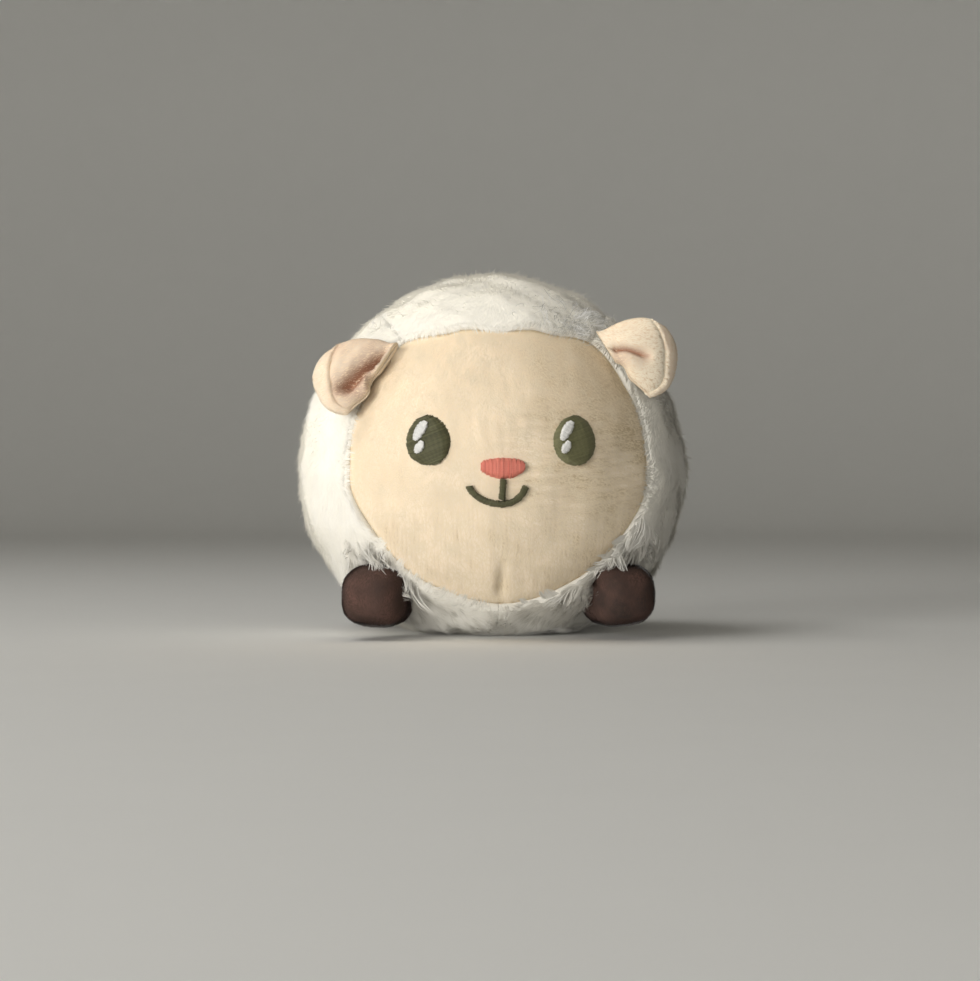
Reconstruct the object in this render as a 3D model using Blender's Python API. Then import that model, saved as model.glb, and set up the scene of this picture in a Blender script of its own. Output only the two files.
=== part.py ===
"""A ball-shaped plush sheep: face panel, fleece panels, pinched two-layer ears and stuffed feet.

Metres, +Z up. The toy sits on the floor at z = 0 and faces -Y, so its own left side is +X.
Run it with blender --background --python part.py, or from Blender's text editor.
"""

from math import asin, atan2, copysign, cos, exp, pi, radians, sin, sqrt

import bmesh
import bpy
from mathutils import Matrix, Vector

# Body ball, measured over the fleece
BODY_WIDTH = 0.1150
BODY_DEPTH = 0.1130
CROWN_RISE = 0.0600
BELLY_DROP = 0.0500
FLOOR_SQUASH = 0.0040
FLOOR_BLEND = 0.0015

# Fabrics
FLEECE_PILE = 0.0045
FACE_PILE = 0.0020
BACKING = 0.0008
SEAM_GAP = 0.0003
SEAM_TUCK = 0.0012
SEAM_ROUND_POWER = 7
FILL_EASE = 0.0007

# Face panel and back panel
FACE_WIDTH = 0.0890
BACK_PANEL_WIDTH = 0.0700
DART_DEPTH = 0.0012
DART_HALF_WIDTH = 0.0018
DART_START_SHARE = 0.58
# Face seam: angle round the nose line in degrees, and its share of the polar angle at the side
FACE_SEAM_SHARES = (
    (-90, 0.98), (-62, 0.94), (-32, 0.92), (0, 1.00), (30, 1.06), (52, 1.11), (72, 0.97), (90, 0.91),
)
# Where the seams between the crown and the sides leave the face seam, in degrees round the nose line
CROWN_SEAM_TURN = 54

# How far the columns draw together beside the dart, and over how many degrees
GATHER_SHARE = 0.60
GATHER_TURN = 22

# Ears
EAR_LENGTH = 0.0215
EAR_WIDTH = 0.0240
EAR_LAYER = 0.0022
EAR_ROOT_CLEARANCE = 0.0008
EAR_LEFT_ROOT_INSET = 0.0028
EAR_RIGHT_ROOT_INSET = 0.0052
EAR_PUFF = 0.0016
CREASE_DEPTH = 0.0034
CREASE_HALF_WIDTH = 0.0022
CREASE_LENGTH_SHARE = 0.62
EAR_ROOT_WIDTH_SHARE = 0.49
EAR_TIP_WIDTH_SHARE = 0.98
EAR_UPPER_FLARE_SHARE = 0.60
EAR_LOWER_FLARE_SHARE = 1.37
EAR_LOWER_WIDTH_SHARE = 0.88
EAR_UPPER_ROUND_SHARE = 0.29
EAR_LOWER_ROUND_SHARE = 0.22
EAR_TIP_ROUND_POWER = 3.4
# How far along the ear its root line has opened out, its puff has risen and its crease is at full depth
EAR_OPEN_SHARE = 0.60
EAR_PUFF_SHARE = 0.30
CREASE_START_SHARE = 0.18
# Set of each ear in degrees: root round the nose line, outward lean of the root, skew towards the floor,
# rise off the body and bend back over its length; then the place of the crease across the ear
EAR_LEFT_SET = (49, 8, 46, 52, 68)
EAR_LEFT_CREASE_SHARE = 0.50
EAR_RIGHT_SET = (45, 20, 56, 21, 10)
EAR_RIGHT_CREASE_SHARE = 0.64

# Feet
FOOT_WIDTH = 0.0192
FOOT_LENGTH = 0.0280
FOOT_HEIGHT = 0.0185
FOOT_COVER = 0.0016
FOOT_SPREAD_SHARE = 0.291
FOOT_REACH_SHARE = 0.257
FOOT_LIFT = 0.0032
FOOT_TAPER_SHARE = 0.12
FOOT_SQUARENESS = 0.74
TOE_OUT = 18

# Tail
TAIL_WIDTH = 0.0150
TAIL_HEIGHT = 0.0170
TAIL_LENGTH = 0.0150
TAIL_DROP = 0.0060

# Embroidery; heights are above the floor
THREAD_HEIGHT = 0.0010
EYE_WIDTH = 0.0120
EYE_HEIGHT = 0.0140
EYE_SPACING = 0.0406
EYE_LEVEL = 0.0561
EYE_TAPER_SHARE = 0.10
GLINT_THICKNESS = 0.0006
GLINT_LEAN = 30
NOSE_WIDTH = 0.0122
NOSE_HEIGHT = 0.0058
NOSE_LEVEL = 0.0482
NOSE_FLARE_SHARE = 0.30
NOSE_TOP_SQUARENESS = 0.55
STITCH_LINE = 0.0020
SMILE_LEVEL = 0.0434
SMILE_DEPTH = 0.0050
SMILE_RIGHT_REACH = 0.0092
SMILE_LEFT_REACH = 0.0064
SMILE_SWEEP = 78

# Glints on each eye: across, up, width and height, as shares of the eye's width and height
GLINT_SHARES = {
    "upper": (-0.19, 0.19, 0.225, 0.45),
    "lower": (-0.21, -0.14, 0.19, 0.27),
}

# Facets; the face, the back and the bands between them share their columns, so that seams stay parallel
SIDE_COLUMNS = 16
CROWN_COLUMNS = 8
FACE_RINGS = 6
BACK_RINGS = 3
BAND_ROWS = 9
BALL_COLUMNS = 40
BALL_RINGS = 20
CORE_COLUMNS = 24
CORE_RINGS = 12
EAR_COLUMNS = 10
EAR_ROWS = 8
FOOT_COLUMNS = 18
FOOT_RINGS = 10
PATCH_COLUMNS = 20
PATCH_RINGS = 3

# Edges that turn by more than this many degrees are shaded sharp
SHARP_EDGE = 40

WAIST_LEVEL = BELLY_DROP - FLOOR_SQUASH
EAR_THICKNESS = 2 * EAR_LAYER + SEAM_GAP
FOOT_SPREAD = FOOT_SPREAD_SHARE * BODY_WIDTH
FOOT_REACH = FOOT_REACH_SHARE * BODY_DEPTH
ALL_COLUMNS = 2 * SIDE_COLUMNS + CROWN_COLUMNS

COLOURS = {
    "fleece": ((0.84, 0.82, 0.74), 0.95),
    "face_velour": ((0.82, 0.66, 0.44), 0.90),
    "ear_velour": ((0.80, 0.56, 0.38), 0.90),
    "foot_velour": ((0.060, 0.040, 0.033), 0.92),
    "dark_thread": ((0.070, 0.066, 0.036), 0.55),
    "coral_thread": ((0.62, 0.16, 0.12), 0.50),
    "white_thread": ((0.80, 0.78, 0.74), 0.45),
    "fibre_fill": ((0.86, 0.86, 0.85), 1.00),
}


def clear_scene():
    for thing in list(bpy.data.objects):
        bpy.data.objects.remove(thing, do_unlink=True)


def make_material(name):
    colour, roughness = COLOURS[name]
    material = bpy.data.materials.new(name)
    material.use_nodes = True
    shader = material.node_tree.nodes["Principled BSDF"]
    shader.inputs["Base Color"].default_value = (*colour, 1)
    shader.inputs["Roughness"].default_value = roughness
    shader.inputs["Metallic"].default_value = 0
    return material


def add_empty(name, matrix, parent=None):
    empty = bpy.data.objects.new(name, None)
    empty.empty_display_size = FOOT_WIDTH
    bpy.context.collection.objects.link(empty)
    empty.parent = parent
    empty.matrix_local = matrix
    return empty


def add_object(name, bm, material, parent, place=Vector()):
    """Makes a named object of bm, whose points are given about place."""
    bmesh.ops.recalc_face_normals(bm, faces=bm.faces)
    if bm.calc_volume(signed=True) < 0:
        bmesh.ops.reverse_faces(bm, faces=bm.faces)
    mesh = bpy.data.meshes.new(name)
    bm.to_mesh(mesh)
    bm.free()
    mesh.shade_smooth()
    mesh.set_sharp_from_angle(angle=radians(SHARP_EDGE))
    if material is not None:
        mesh.materials.append(material)
    thing = bpy.data.objects.new(name, mesh)
    bpy.context.collection.objects.link(thing)
    thing.parent = parent
    thing.location = place
    return thing


def add_cutter(name, bm, parent, place=Vector()):
    cutter = add_object(name, bm, None, parent, place)
    cutter.hide_render = True
    cutter.display_type = "WIRE"
    return cutter


def cut_away(thing, cutter):
    cut = thing.modifiers.new("cut_" + cutter.name, "BOOLEAN")
    cut.operation = "DIFFERENCE"
    cut.solver = "EXACT"
    cut.object = cutter


def smooth_step(share):
    share = min(max(share, 0), 1)
    return share * share * (3 - 2 * share)


def bell(distance, width):
    return exp(-((distance / width) ** 2))


def soft_floor(height, floor):
    """The larger of the two heights, blended over FLOOR_BLEND, and exactly the floor well below it."""
    share = min(max(0.5 + (height - floor) / (2 * FLOOR_BLEND), 0), 1)
    return floor + (height - floor) * share + FLOOR_BLEND * share * (1 - share)


def half_sizes(proud, upper):
    """Half sizes of the ball at the layer that stands this proud of the backing."""
    grow = proud - FLEECE_PILE
    rise = CROWN_RISE if upper else BELLY_DROP
    return BODY_WIDTH / 2 + grow, BODY_DEPTH / 2 + grow, rise + grow


def ball_point(polar, turn, proud, tuck=0):
    """A point of the body, polar radians off the nose line and turn radians round it from the left side."""
    half_x, half_y, half_z = half_sizes(proud - tuck, sin(turn) > 0)
    height = WAIST_LEVEL + half_z * sin(polar) * sin(turn)
    return Vector((
        half_x * sin(polar) * cos(turn),
        -half_y * cos(polar),
        soft_floor(height, FLEECE_PILE - proud),
    ))


def ball_normal(polar, turn, proud):
    step = radians(1)
    along = ball_point(polar + step, turn, proud) - ball_point(polar - step, turn, proud)
    around = ball_point(polar, turn + step, proud) - ball_point(polar, turn - step, proud)
    normal = along.cross(around).normalized()
    outward = ball_point(polar, turn, proud + FLEECE_PILE) - ball_point(polar, turn, proud)
    return normal if normal.dot(outward) > 0 else -normal


def face_point(across, level, proud):
    """The point of the face, this proud of the backing, seen from the front at this place and level."""
    half_x, half_y, half_z = half_sizes(proud, level > WAIST_LEVEL)
    flat = (across / half_x) ** 2 + ((level - WAIST_LEVEL) / half_z) ** 2
    return Vector((across, -half_y * sqrt(max(1 - flat, 0)), level))


def side_turn(turn):
    """Degrees from the left or right side line, up positive, of a direction given in radians."""
    return 90 - abs((90 - turn * 180 / pi + 180) % 360 - 180)


def face_polar(turn):
    """Polar angle of the face seam at this turn."""
    widest = asin(FACE_WIDTH / BODY_WIDTH)
    at = side_turn(turn)
    for (low, low_share), (high, high_share) in zip(FACE_SEAM_SHARES, FACE_SEAM_SHARES[1:]):
        if at <= high:
            part = smooth_step((at - low) / (high - low))
            return widest * (low_share + part * (high_share - low_share))
    return widest * FACE_SEAM_SHARES[-1][1]


def back_polar():
    return pi - asin(BACK_PANEL_WIDTH / BODY_WIDTH)


def gap_angle():
    """Half a seam gap, as an angle at the middle of the ball."""
    return SEAM_GAP / BODY_WIDTH


def edge_tuck(share):
    """How far a panel dips, from 0 at its middle to SEAM_TUCK at its edges; share runs across it."""
    return SEAM_TUCK * abs(2 * share - 1) ** SEAM_ROUND_POWER


def flat_slab(columns, rows):
    """A closed slab of cells, one long, one wide and one thick, ready to be bent."""
    bm = bmesh.new()
    centre = Matrix.Translation((0.5, 0.5, 0))
    bmesh.ops.create_grid(bm, x_segments=columns, y_segments=rows, size=0.5, matrix=centre)
    grown = bmesh.ops.extrude_face_region(bm, geom=bm.faces[:])["geom"]
    top = [item for item in grown if isinstance(item, bmesh.types.BMVert)]
    bmesh.ops.translate(bm, verts=top, vec=(0, 0, 1))
    return bm


def round_slab(columns, rings):
    """A closed disc of radius one and thickness one: a spoke spun once round."""
    bm = bmesh.new()
    lower = [bm.verts.new((ring / rings, 0, 0)) for ring in range(rings + 1)]
    upper = [bm.verts.new((ring / rings, 0, 1)) for ring in range(rings, -1, -1)]
    chain = lower + upper
    for start, end in zip(chain, chain[1:]):
        bm.edges.new((start, end))
    bmesh.ops.spin(
        bm, geom=bm.verts[:] + bm.edges[:], axis=(0, 0, 1), cent=(0, 0, 0),
        angle=2 * pi, steps=columns, use_merge=True,
    )
    bmesh.ops.remove_doubles(bm, verts=bm.verts, dist=1 / (columns * rings))
    return bm


def bend(bm, place):
    """Moves each point of a unit slab to place(x, y, z)."""
    for vert in bm.verts:
        vert.co = place(*vert.co)


def ball_mesh(proud, columns, rings):
    """The whole ball at one layer, as a closed body."""
    bm = bmesh.new()
    bmesh.ops.create_uvsphere(bm, u_segments=columns, v_segments=rings, radius=1)

    def place(x, y, z):
        return ball_point(atan2(sqrt(x * x + z * z), -y), atan2(z, x), proud)

    bend(bm, place)
    return bm


def column_turn(column):
    """Turn of a column, counted from the dart up the left side, over the crown and down the right side.

    The columns are drawn together at the dart.
    """
    crown_seam = radians(CROWN_SEAM_TURN)
    if column <= ALL_COLUMNS / 2:
        side = min(column / SIDE_COLUMNS, 1) * (crown_seam + pi / 2)
        crown = max(column - SIDE_COLUMNS, 0) / CROWN_COLUMNS * (pi - 2 * crown_seam)
        off = side + crown
        return off * (1 - GATHER_SHARE * bell(off, radians(GATHER_TURN))) - pi / 2
    return pi - column_turn(ALL_COLUMNS - column)


def disc_turn(x, y):
    """Turn of the column at this place on a round slab."""
    return column_turn(ALL_COLUMNS * (atan2(y, x) / (2 * pi) % 1))


def dart_dip(share, across):
    """Depth of the sewn dart: nothing above its start, deepest at the seam."""
    opening = smooth_step((share - DART_START_SHARE) / (1 - DART_START_SHARE))
    return DART_DEPTH * opening * bell(across, DART_HALF_WIDTH)


def make_face(material, parent):
    def place(x, y, z):
        share = sqrt(x * x + y * y)
        turn = disc_turn(x, y)
        polar = share * (face_polar(turn) - gap_angle())
        proud = -BACKING + z * (BACKING + FACE_PILE)
        point = ball_point(polar, turn, proud)
        if sin(turn) < 0:
            dip = z * dart_dip(share, point.x)
            point = ball_point(polar, turn, proud, dip)
        return point

    bm = round_slab(ALL_COLUMNS, FACE_RINGS)
    bend(bm, place)
    return add_object("face_panel", bm, material, parent)


def make_back(material, parent):
    def place(x, y, z):
        share = sqrt(x * x + y * y)
        polar = pi - share * (pi - back_polar() - gap_angle())
        proud = -BACKING + z * (BACKING + FLEECE_PILE)
        return ball_point(polar, disc_turn(x, y), proud, z * edge_tuck((1 + share) / 2))

    bm = round_slab(ALL_COLUMNS, BACK_RINGS)
    bend(bm, place)
    return add_object("fleece_back", bm, material, parent)


def make_fleece_band(name, first_column, columns, material, parent):
    """A fleece panel from the face seam to the back panel, between two seams round the nose line."""
    gap_turn = gap_angle() / sin(back_polar())
    edge_share = 0.5 / columns

    def place(x, y, z):
        turn = column_turn(first_column + x * columns)
        turn += gap_turn * ((x < edge_share) - (x > 1 - edge_share))
        front = face_polar(turn) + gap_angle()
        polar = front + y * (back_polar() - gap_angle() - front)
        proud = -BACKING + z * (BACKING + FLEECE_PILE)
        return ball_point(polar, turn, proud, z * max(edge_tuck(x), edge_tuck(y)))

    bm = flat_slab(columns, BAND_ROWS)
    bend(bm, place)
    return add_object(name, bm, material, parent)


def make_body(materials, root):
    fleece = materials["fleece"]
    make_face(materials["face_velour"], root)
    make_back(fleece, root)
    make_fleece_band("fleece_left_side", 0, SIDE_COLUMNS, fleece, root)
    make_fleece_band("fleece_crown", SIDE_COLUMNS, CROWN_COLUMNS, fleece, root)
    make_fleece_band("fleece_right_side", SIDE_COLUMNS + CROWN_COLUMNS, SIDE_COLUMNS, fleece, root)
    core = ball_mesh(-BACKING - FILL_EASE, CORE_COLUMNS, CORE_RINGS)
    add_object("stuffing_core", core, materials["fibre_fill"], root)


def ear_hinge(side, seam_turn, lean, inset):
    """Frame of an ear's sewn root: X down along the root, Z off the body, origin on the hinge line."""
    turn = seam_turn if side > 0 else pi - seam_turn
    polar = face_polar(turn) - inset / (BODY_WIDTH / 2)
    normal = ball_normal(polar, turn, FACE_PILE)
    root_line = Vector((side * sin(lean), 0, -cos(lean)))
    root_line = (root_line - root_line.dot(normal) * normal).normalized()
    height = EAR_THICKNESS / 2 + EAR_ROOT_CLEARANCE
    origin = ball_point(polar, turn, FACE_PILE) + height * normal
    frame = Matrix((root_line, normal.cross(root_line), normal)).transposed().to_4x4()
    frame.translation = origin
    return frame


def ear_outline(across_share, along_share):
    """Flat ear, as (across, along) from the middle of its root: a leaf with a round tip."""
    off = 2 * across_share - 1
    flare = EAR_LOWER_FLARE_SHARE if off > 0 else EAR_UPPER_FLARE_SHARE
    width = EAR_ROOT_WIDTH_SHARE + (1 - EAR_ROOT_WIDTH_SHARE) * smooth_step(along_share / flare)
    width -= (1 - EAR_TIP_WIDTH_SHARE) * smooth_step(2 * along_share - 1)
    width *= EAR_LOWER_WIDTH_SHARE if off > 0 else 1
    rounding = EAR_LOWER_ROUND_SHARE if off > 0 else EAR_UPPER_ROUND_SHARE
    length = EAR_LENGTH * (1 - rounding * abs(off) ** EAR_TIP_ROUND_POWER)
    return off * width * EAR_WIDTH / 2, along_share * length


def make_ear(side_name, side, inset, angles, crease_share, materials, root):
    seam_turn, lean, skew, rise, bend_back = (radians(angle) for angle in angles)
    hinge = add_empty(f"ear_{side_name}_hinge", ear_hinge(side, seam_turn, lean, inset), root)
    along = Vector((sin(skew), side * cos(skew) * cos(rise), cos(skew) * sin(rise)))
    root_line = Vector((1, 0, 0))
    across_line = (root_line - root_line.dot(along) * along).normalized()
    front = side * across_line.cross(along)
    crease_at = (2 * crease_share - 1) * EAR_WIDTH / 2

    def place(low, high):
        def layer_place(x, y, z):
            across, reach = ear_outline(x, y)
            turned = bend_back * reach / EAR_LENGTH
            radius = EAR_LENGTH / bend_back
            centre = radius * (sin(turned) * along - (1 - cos(turned)) * front)
            facing = cos(turned) * front + sin(turned) * along
            line = root_line.lerp(across_line, smooth_step(y / EAR_OPEN_SHARE)).normalized()
            fade = 1 - smooth_step(y / CREASE_LENGTH_SHARE)
            puff = EAR_PUFF * (1 - (2 * x - 1) ** 2) * smooth_step(y / EAR_PUFF_SHARE)
            depth = CREASE_DEPTH * fade * smooth_step(y / CREASE_START_SHARE)
            pinch = depth * bell(across - crease_at * y, CREASE_HALF_WIDTH)
            return centre + across * line + (low + z * (high - low) + puff - pinch) * facing

        return layer_place

    layers = {
        "lining": (SEAM_GAP / 2, SEAM_GAP / 2 + EAR_LAYER),
        "outer": (-SEAM_GAP / 2 - EAR_LAYER, -SEAM_GAP / 2),
    }
    for layer, (low, high) in layers.items():
        bm = flat_slab(EAR_COLUMNS, EAR_ROWS)
        bend(bm, place(low, high))
        add_object(f"ear_{side_name}_{layer}", bm, materials["ear_velour"], hinge)


def foot_mesh(grow, end):
    """A stuffed stub, this much larger than its cover, with its toe towards end (-1 front, 1 rear)."""
    half_x, half_y, half_z = (size / 2 + grow for size in (FOOT_WIDTH, FOOT_LENGTH, FOOT_HEIGHT))
    bm = bmesh.new()
    bmesh.ops.create_uvsphere(bm, u_segments=FOOT_COLUMNS, v_segments=FOOT_RINGS, radius=1)

    def place(*unit):
        x, y, z = (copysign(abs(part) ** FOOT_SQUARENESS, part) for part in unit)
        swell = 1 + FOOT_TAPER_SHARE * end * unit[1]
        return Vector((half_x * x * swell, half_y * y, half_z * z * swell))

    bend(bm, place)
    return bm


def make_foot(name, side, end, body_cutter, materials, root):
    turned = -end * side * radians(TOE_OUT)
    place = Vector((side * FOOT_SPREAD, end * FOOT_REACH, FOOT_HEIGHT / 2 + FOOT_LIFT))
    cover = add_object(f"{name}_cover", foot_mesh(0, end), materials["foot_velour"], root, place)
    hollow = add_cutter(f"{name}_hollow", foot_mesh(-FOOT_COVER, end), root, place)
    inner = foot_mesh(-FOOT_COVER - SEAM_GAP, end)
    filling = add_object(f"{name}_filling", inner, materials["fibre_fill"], root, place)
    for thing in (cover, hollow, filling):
        thing.rotation_euler.z = turned
    cut_away(cover, hollow)
    cut_away(cover, body_cutter)
    cut_away(filling, body_cutter)


def make_tail(body_cutter, materials, root):
    bm = bmesh.new()
    bmesh.ops.create_uvsphere(bm, u_segments=FOOT_COLUMNS, v_segments=FOOT_RINGS, radius=1)
    bmesh.ops.scale(bm, verts=bm.verts, vec=(TAIL_WIDTH / 2, TAIL_LENGTH / 2, TAIL_HEIGHT / 2))
    place = Vector((0, BODY_DEPTH / 2, WAIST_LEVEL - TAIL_DROP))
    tail = add_object("tail", bm, materials["fleece"], root, place)
    cut_away(tail, body_cutter)


def stitched_patch(name, outline, low, high, material, root):
    """Satin stitch on the face between two heights over the backing; outline(x, y) places a unit disc."""
    across, level = outline(0, 0)
    centre = face_point(across, level, low)

    def place(x, y, z):
        rim = (x * x + y * y) ** 2
        top = high - (high - low) * rim / 2
        return face_point(*outline(x, y), low + z * (top - low)) - centre

    bm = round_slab(PATCH_COLUMNS, PATCH_RINGS)
    bend(bm, place)
    return add_object(name, bm, material, root, centre)


def stitched_line(name, route, material, root):
    """A band of satin stitch that follows route(share), which gives its middle as (across, level)."""
    low = FACE_PILE + SEAM_GAP
    centre = face_point(*route(0.5), low)
    step = 0.5 / PATCH_COLUMNS

    def place(x, y, z):
        here = Vector(route(x))
        tangent = (Vector(route(min(x + step, 1))) - Vector(route(max(x - step, 0)))).normalized()
        here += (y - 0.5) * STITCH_LINE * Vector((-tangent.y, tangent.x))
        return face_point(here.x, here.y, low + z * THREAD_HEIGHT) - centre

    bm = flat_slab(PATCH_COLUMNS, 2)
    bend(bm, place)
    return add_object(name, bm, material, root, centre)


def make_eye(side_name, side, materials, root):
    low = FACE_PILE + SEAM_GAP
    middle = side * EYE_SPACING / 2

    def egg(x, y):
        return middle + x * EYE_WIDTH / 2 * (1 - EYE_TAPER_SHARE * y), EYE_LEVEL + y * EYE_HEIGHT / 2

    stitched_patch(f"eye_{side_name}", egg, low, low + THREAD_HEIGHT, materials["dark_thread"], root)
    lean = radians(GLINT_LEAN)
    glint_low = low + THREAD_HEIGHT + SEAM_GAP
    for place_name, (across, up, width, height) in GLINT_SHARES.items():

        def drop(x, y, across=across, up=up, width=width, height=height):
            wide = x * width * EYE_WIDTH / 2
            tall = y * height * EYE_HEIGHT / 2
            return (
                middle + across * EYE_WIDTH + wide * cos(lean) + tall * sin(lean),
                EYE_LEVEL + up * EYE_HEIGHT + tall * cos(lean) - wide * sin(lean),
            )

        name = f"eye_{side_name}_glint_{place_name}"
        stitched_patch(name, drop, glint_low, glint_low + GLINT_THICKNESS, materials["white_thread"], root)


def make_nose_and_mouth(materials, root):
    low = FACE_PILE + SEAM_GAP

    def bowl(x, y):
        flare = 1 - NOSE_FLARE_SHARE / 2 + NOSE_FLARE_SHARE * (y + x * x) / 2
        up = y ** NOSE_TOP_SQUARENESS if y > 0 else y
        return x * flare * NOSE_WIDTH / 2, NOSE_LEVEL + up * NOSE_HEIGHT / 2

    nose_low = NOSE_LEVEL - NOSE_HEIGHT / 2
    smile_low = SMILE_LEVEL - SMILE_DEPTH

    def drop_line(share):
        top = nose_low - SEAM_GAP
        bottom = smile_low + STITCH_LINE / 2 + SEAM_GAP
        return 0, top + share * (bottom - top)

    def smile_line(share):
        sweep = radians(SMILE_SWEEP) * (2 * share - 1)
        reach = SMILE_LEFT_REACH if sweep > 0 else SMILE_RIGHT_REACH
        lift = (1 - cos(sweep)) / (1 - cos(radians(SMILE_SWEEP)))
        return reach * sin(sweep) / sin(radians(SMILE_SWEEP)), smile_low + SMILE_DEPTH * lift

    stitched_patch("nose", bowl, low, low + THREAD_HEIGHT, materials["coral_thread"], root)
    stitched_line("philtrum", drop_line, materials["dark_thread"], root)
    stitched_line("smile", smile_line, materials["dark_thread"], root)


def centre_footprint(root):
    """Moves the toy so that the origin lies under the middle of its box."""
    bpy.context.view_layer.update()
    graph = bpy.context.evaluated_depsgraph_get()
    points = []
    for thing in root.children_recursive:
        if thing.type == "MESH" and not thing.hide_render:
            seen = thing.evaluated_get(graph)
            points += [seen.matrix_world @ vert.co for vert in seen.data.vertices]
    for axis in (0, 1):
        values = [point[axis] for point in points]
        root.location[axis] -= (min(values) + max(values)) / 2
    bpy.context.view_layer.update()


def print_hinges(root):
    for thing in root.children:
        if thing.type == "EMPTY":
            point = ", ".join(f"{value:.6f}" for value in thing.matrix_world.translation)
            axis = ", ".join(f"{value:.6f}" for value in thing.matrix_world.col[0][:3])
            print(f"{thing.name}: anchor ({point}), axis ({axis})")


def main():
    clear_scene()
    materials = {name: make_material(name) for name in COLOURS}
    root = add_empty("plush_sheep", Matrix.Identity(4))
    body_cutter = add_cutter(
        "body_cutter", ball_mesh(FLEECE_PILE + SEAM_GAP, BALL_COLUMNS, BALL_RINGS), root
    )
    make_body(materials, root)
    make_ear("left", 1, EAR_LEFT_ROOT_INSET, EAR_LEFT_SET, EAR_LEFT_CREASE_SHARE, materials, root)
    make_ear("right", -1, EAR_RIGHT_ROOT_INSET, EAR_RIGHT_SET, EAR_RIGHT_CREASE_SHARE, materials, root)
    for end_name, end in (("front", -1), ("rear", 1)):
        for side_name, side in (("left", 1), ("right", -1)):
            make_foot(f"foot_{end_name}_{side_name}", side, end, body_cutter, materials, root)
    make_tail(body_cutter, materials, root)
    for side_name, side in (("left", 1), ("right", -1)):
        make_eye(side_name, side, materials, root)
    make_nose_and_mouth(materials, root)
    centre_footprint(root)
    print_hinges(root)


main()
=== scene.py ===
"""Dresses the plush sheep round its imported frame: cloth, pile, satin stitch and a plain studio.

Metres, +Z up. The toy faces -Y, so its own left side is +X.
"""

import logging
from collections.abc import Callable, Sequence
from dataclasses import dataclass
from enum import Enum
from math import asin, cos, pi, radians, sin

import bmesh
import bpy
import numpy as np
from mathutils import Matrix, Vector
from mathutils.kdtree import KDTree


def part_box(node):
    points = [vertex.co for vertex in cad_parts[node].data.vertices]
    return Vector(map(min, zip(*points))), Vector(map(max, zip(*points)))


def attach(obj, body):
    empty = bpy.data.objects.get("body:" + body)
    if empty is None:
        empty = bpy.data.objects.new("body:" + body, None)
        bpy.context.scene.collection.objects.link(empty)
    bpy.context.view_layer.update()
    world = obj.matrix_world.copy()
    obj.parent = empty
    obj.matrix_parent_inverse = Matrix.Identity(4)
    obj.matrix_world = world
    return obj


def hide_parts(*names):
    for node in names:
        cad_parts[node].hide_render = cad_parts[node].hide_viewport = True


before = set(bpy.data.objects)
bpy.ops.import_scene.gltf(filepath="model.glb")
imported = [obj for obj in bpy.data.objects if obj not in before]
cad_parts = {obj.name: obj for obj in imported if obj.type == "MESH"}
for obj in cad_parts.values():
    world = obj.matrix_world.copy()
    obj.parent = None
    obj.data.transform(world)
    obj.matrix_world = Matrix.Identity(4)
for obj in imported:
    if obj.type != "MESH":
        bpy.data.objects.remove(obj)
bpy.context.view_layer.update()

log = logging.getLogger("plush_sheep")

Array = np.ndarray
Colour = tuple[float, float, float]
Spot = tuple[float, float, float]
Ripples = tuple[tuple[float, float, int], ...]
PILE_MAP = "OFBake"
TONES = 64
MM = 0.001


def smooth_step(share: Array) -> Array:
    """Eases a share from 0 to 1."""
    share = np.clip(share, 0.0, 1.0)
    return share * share * (3 - 2 * share)


def bell(distance: Array, width: float) -> Array:
    """A hump of height 1 that fades over the given width."""
    return np.exp(-((distance / width) ** 2))


def unit(vectors: Array) -> Array:
    """The same directions with length 1."""
    return vectors / np.maximum(np.linalg.norm(vectors, axis=-1, keepdims=True), 1e-12)


def dots(first: Array, second: Array) -> Array:
    """Dot products row by row, kept as a column."""
    return np.sum(first * second, axis=-1, keepdims=True)


def waves(points: Array, length: float, seed: int, count: int = 7) -> Array:
    """Smooth noise with a spread of about 1.

    Args:
        points: Places to read it at, as rows.
        length: About how far apart its crests are.
        seed: Number of the pattern.
        count: How many sine waves make it.

    Returns:
        One number for each point.
    """
    rng = np.random.default_rng(seed)
    total = np.zeros(len(points))
    for _ in range(count):
        direction = rng.normal(size=points.shape[1])
        direction /= np.linalg.norm(direction)
        stretch = 2 * pi / length * rng.uniform(0.6, 1.5)
        total += np.sin(points @ direction * stretch + rng.uniform(0, 2 * pi))
    return total / (count / 2) ** 0.5


def ripples(points: Array, kinds: Ripples) -> Array:
    """The sum of smooth noises, each given as height, distance between crests and seed."""
    return sum(height * waves(points, length, seed) for height, length, seed in kinds)


@dataclass(frozen=True)
class Ramp:
    """An eased rise from 0 to 1, over a width from its start; a width under 0 runs the other way."""

    start: float
    width: float

    def __call__(self, values: Array) -> Array:
        """The share at each value."""
        return smooth_step((values - self.start) / self.width)


class Named(Enum):
    """Members whose names are part of the pieces' names."""

    @property
    def label(self) -> str:
        """The name as pieces have it."""
        return self.name.lower()


class Side(Named):
    """The toy's own sides."""

    LEFT = 1
    RIGHT = -1


class End(Named):
    """Front and rear of the toy."""

    FRONT = -1
    REAR = 1


class Panel(Enum):
    """Fleece panels: CAD node, first column and columns counted from the dart up the left side."""

    LEFT = ("fleece_left_side", 0, 16)
    CROWN = ("fleece_crown", 16, 8)
    RIGHT = ("fleece_right_side", 24, 16)
    BACK = ("fleece_back", 0, 40)


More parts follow.
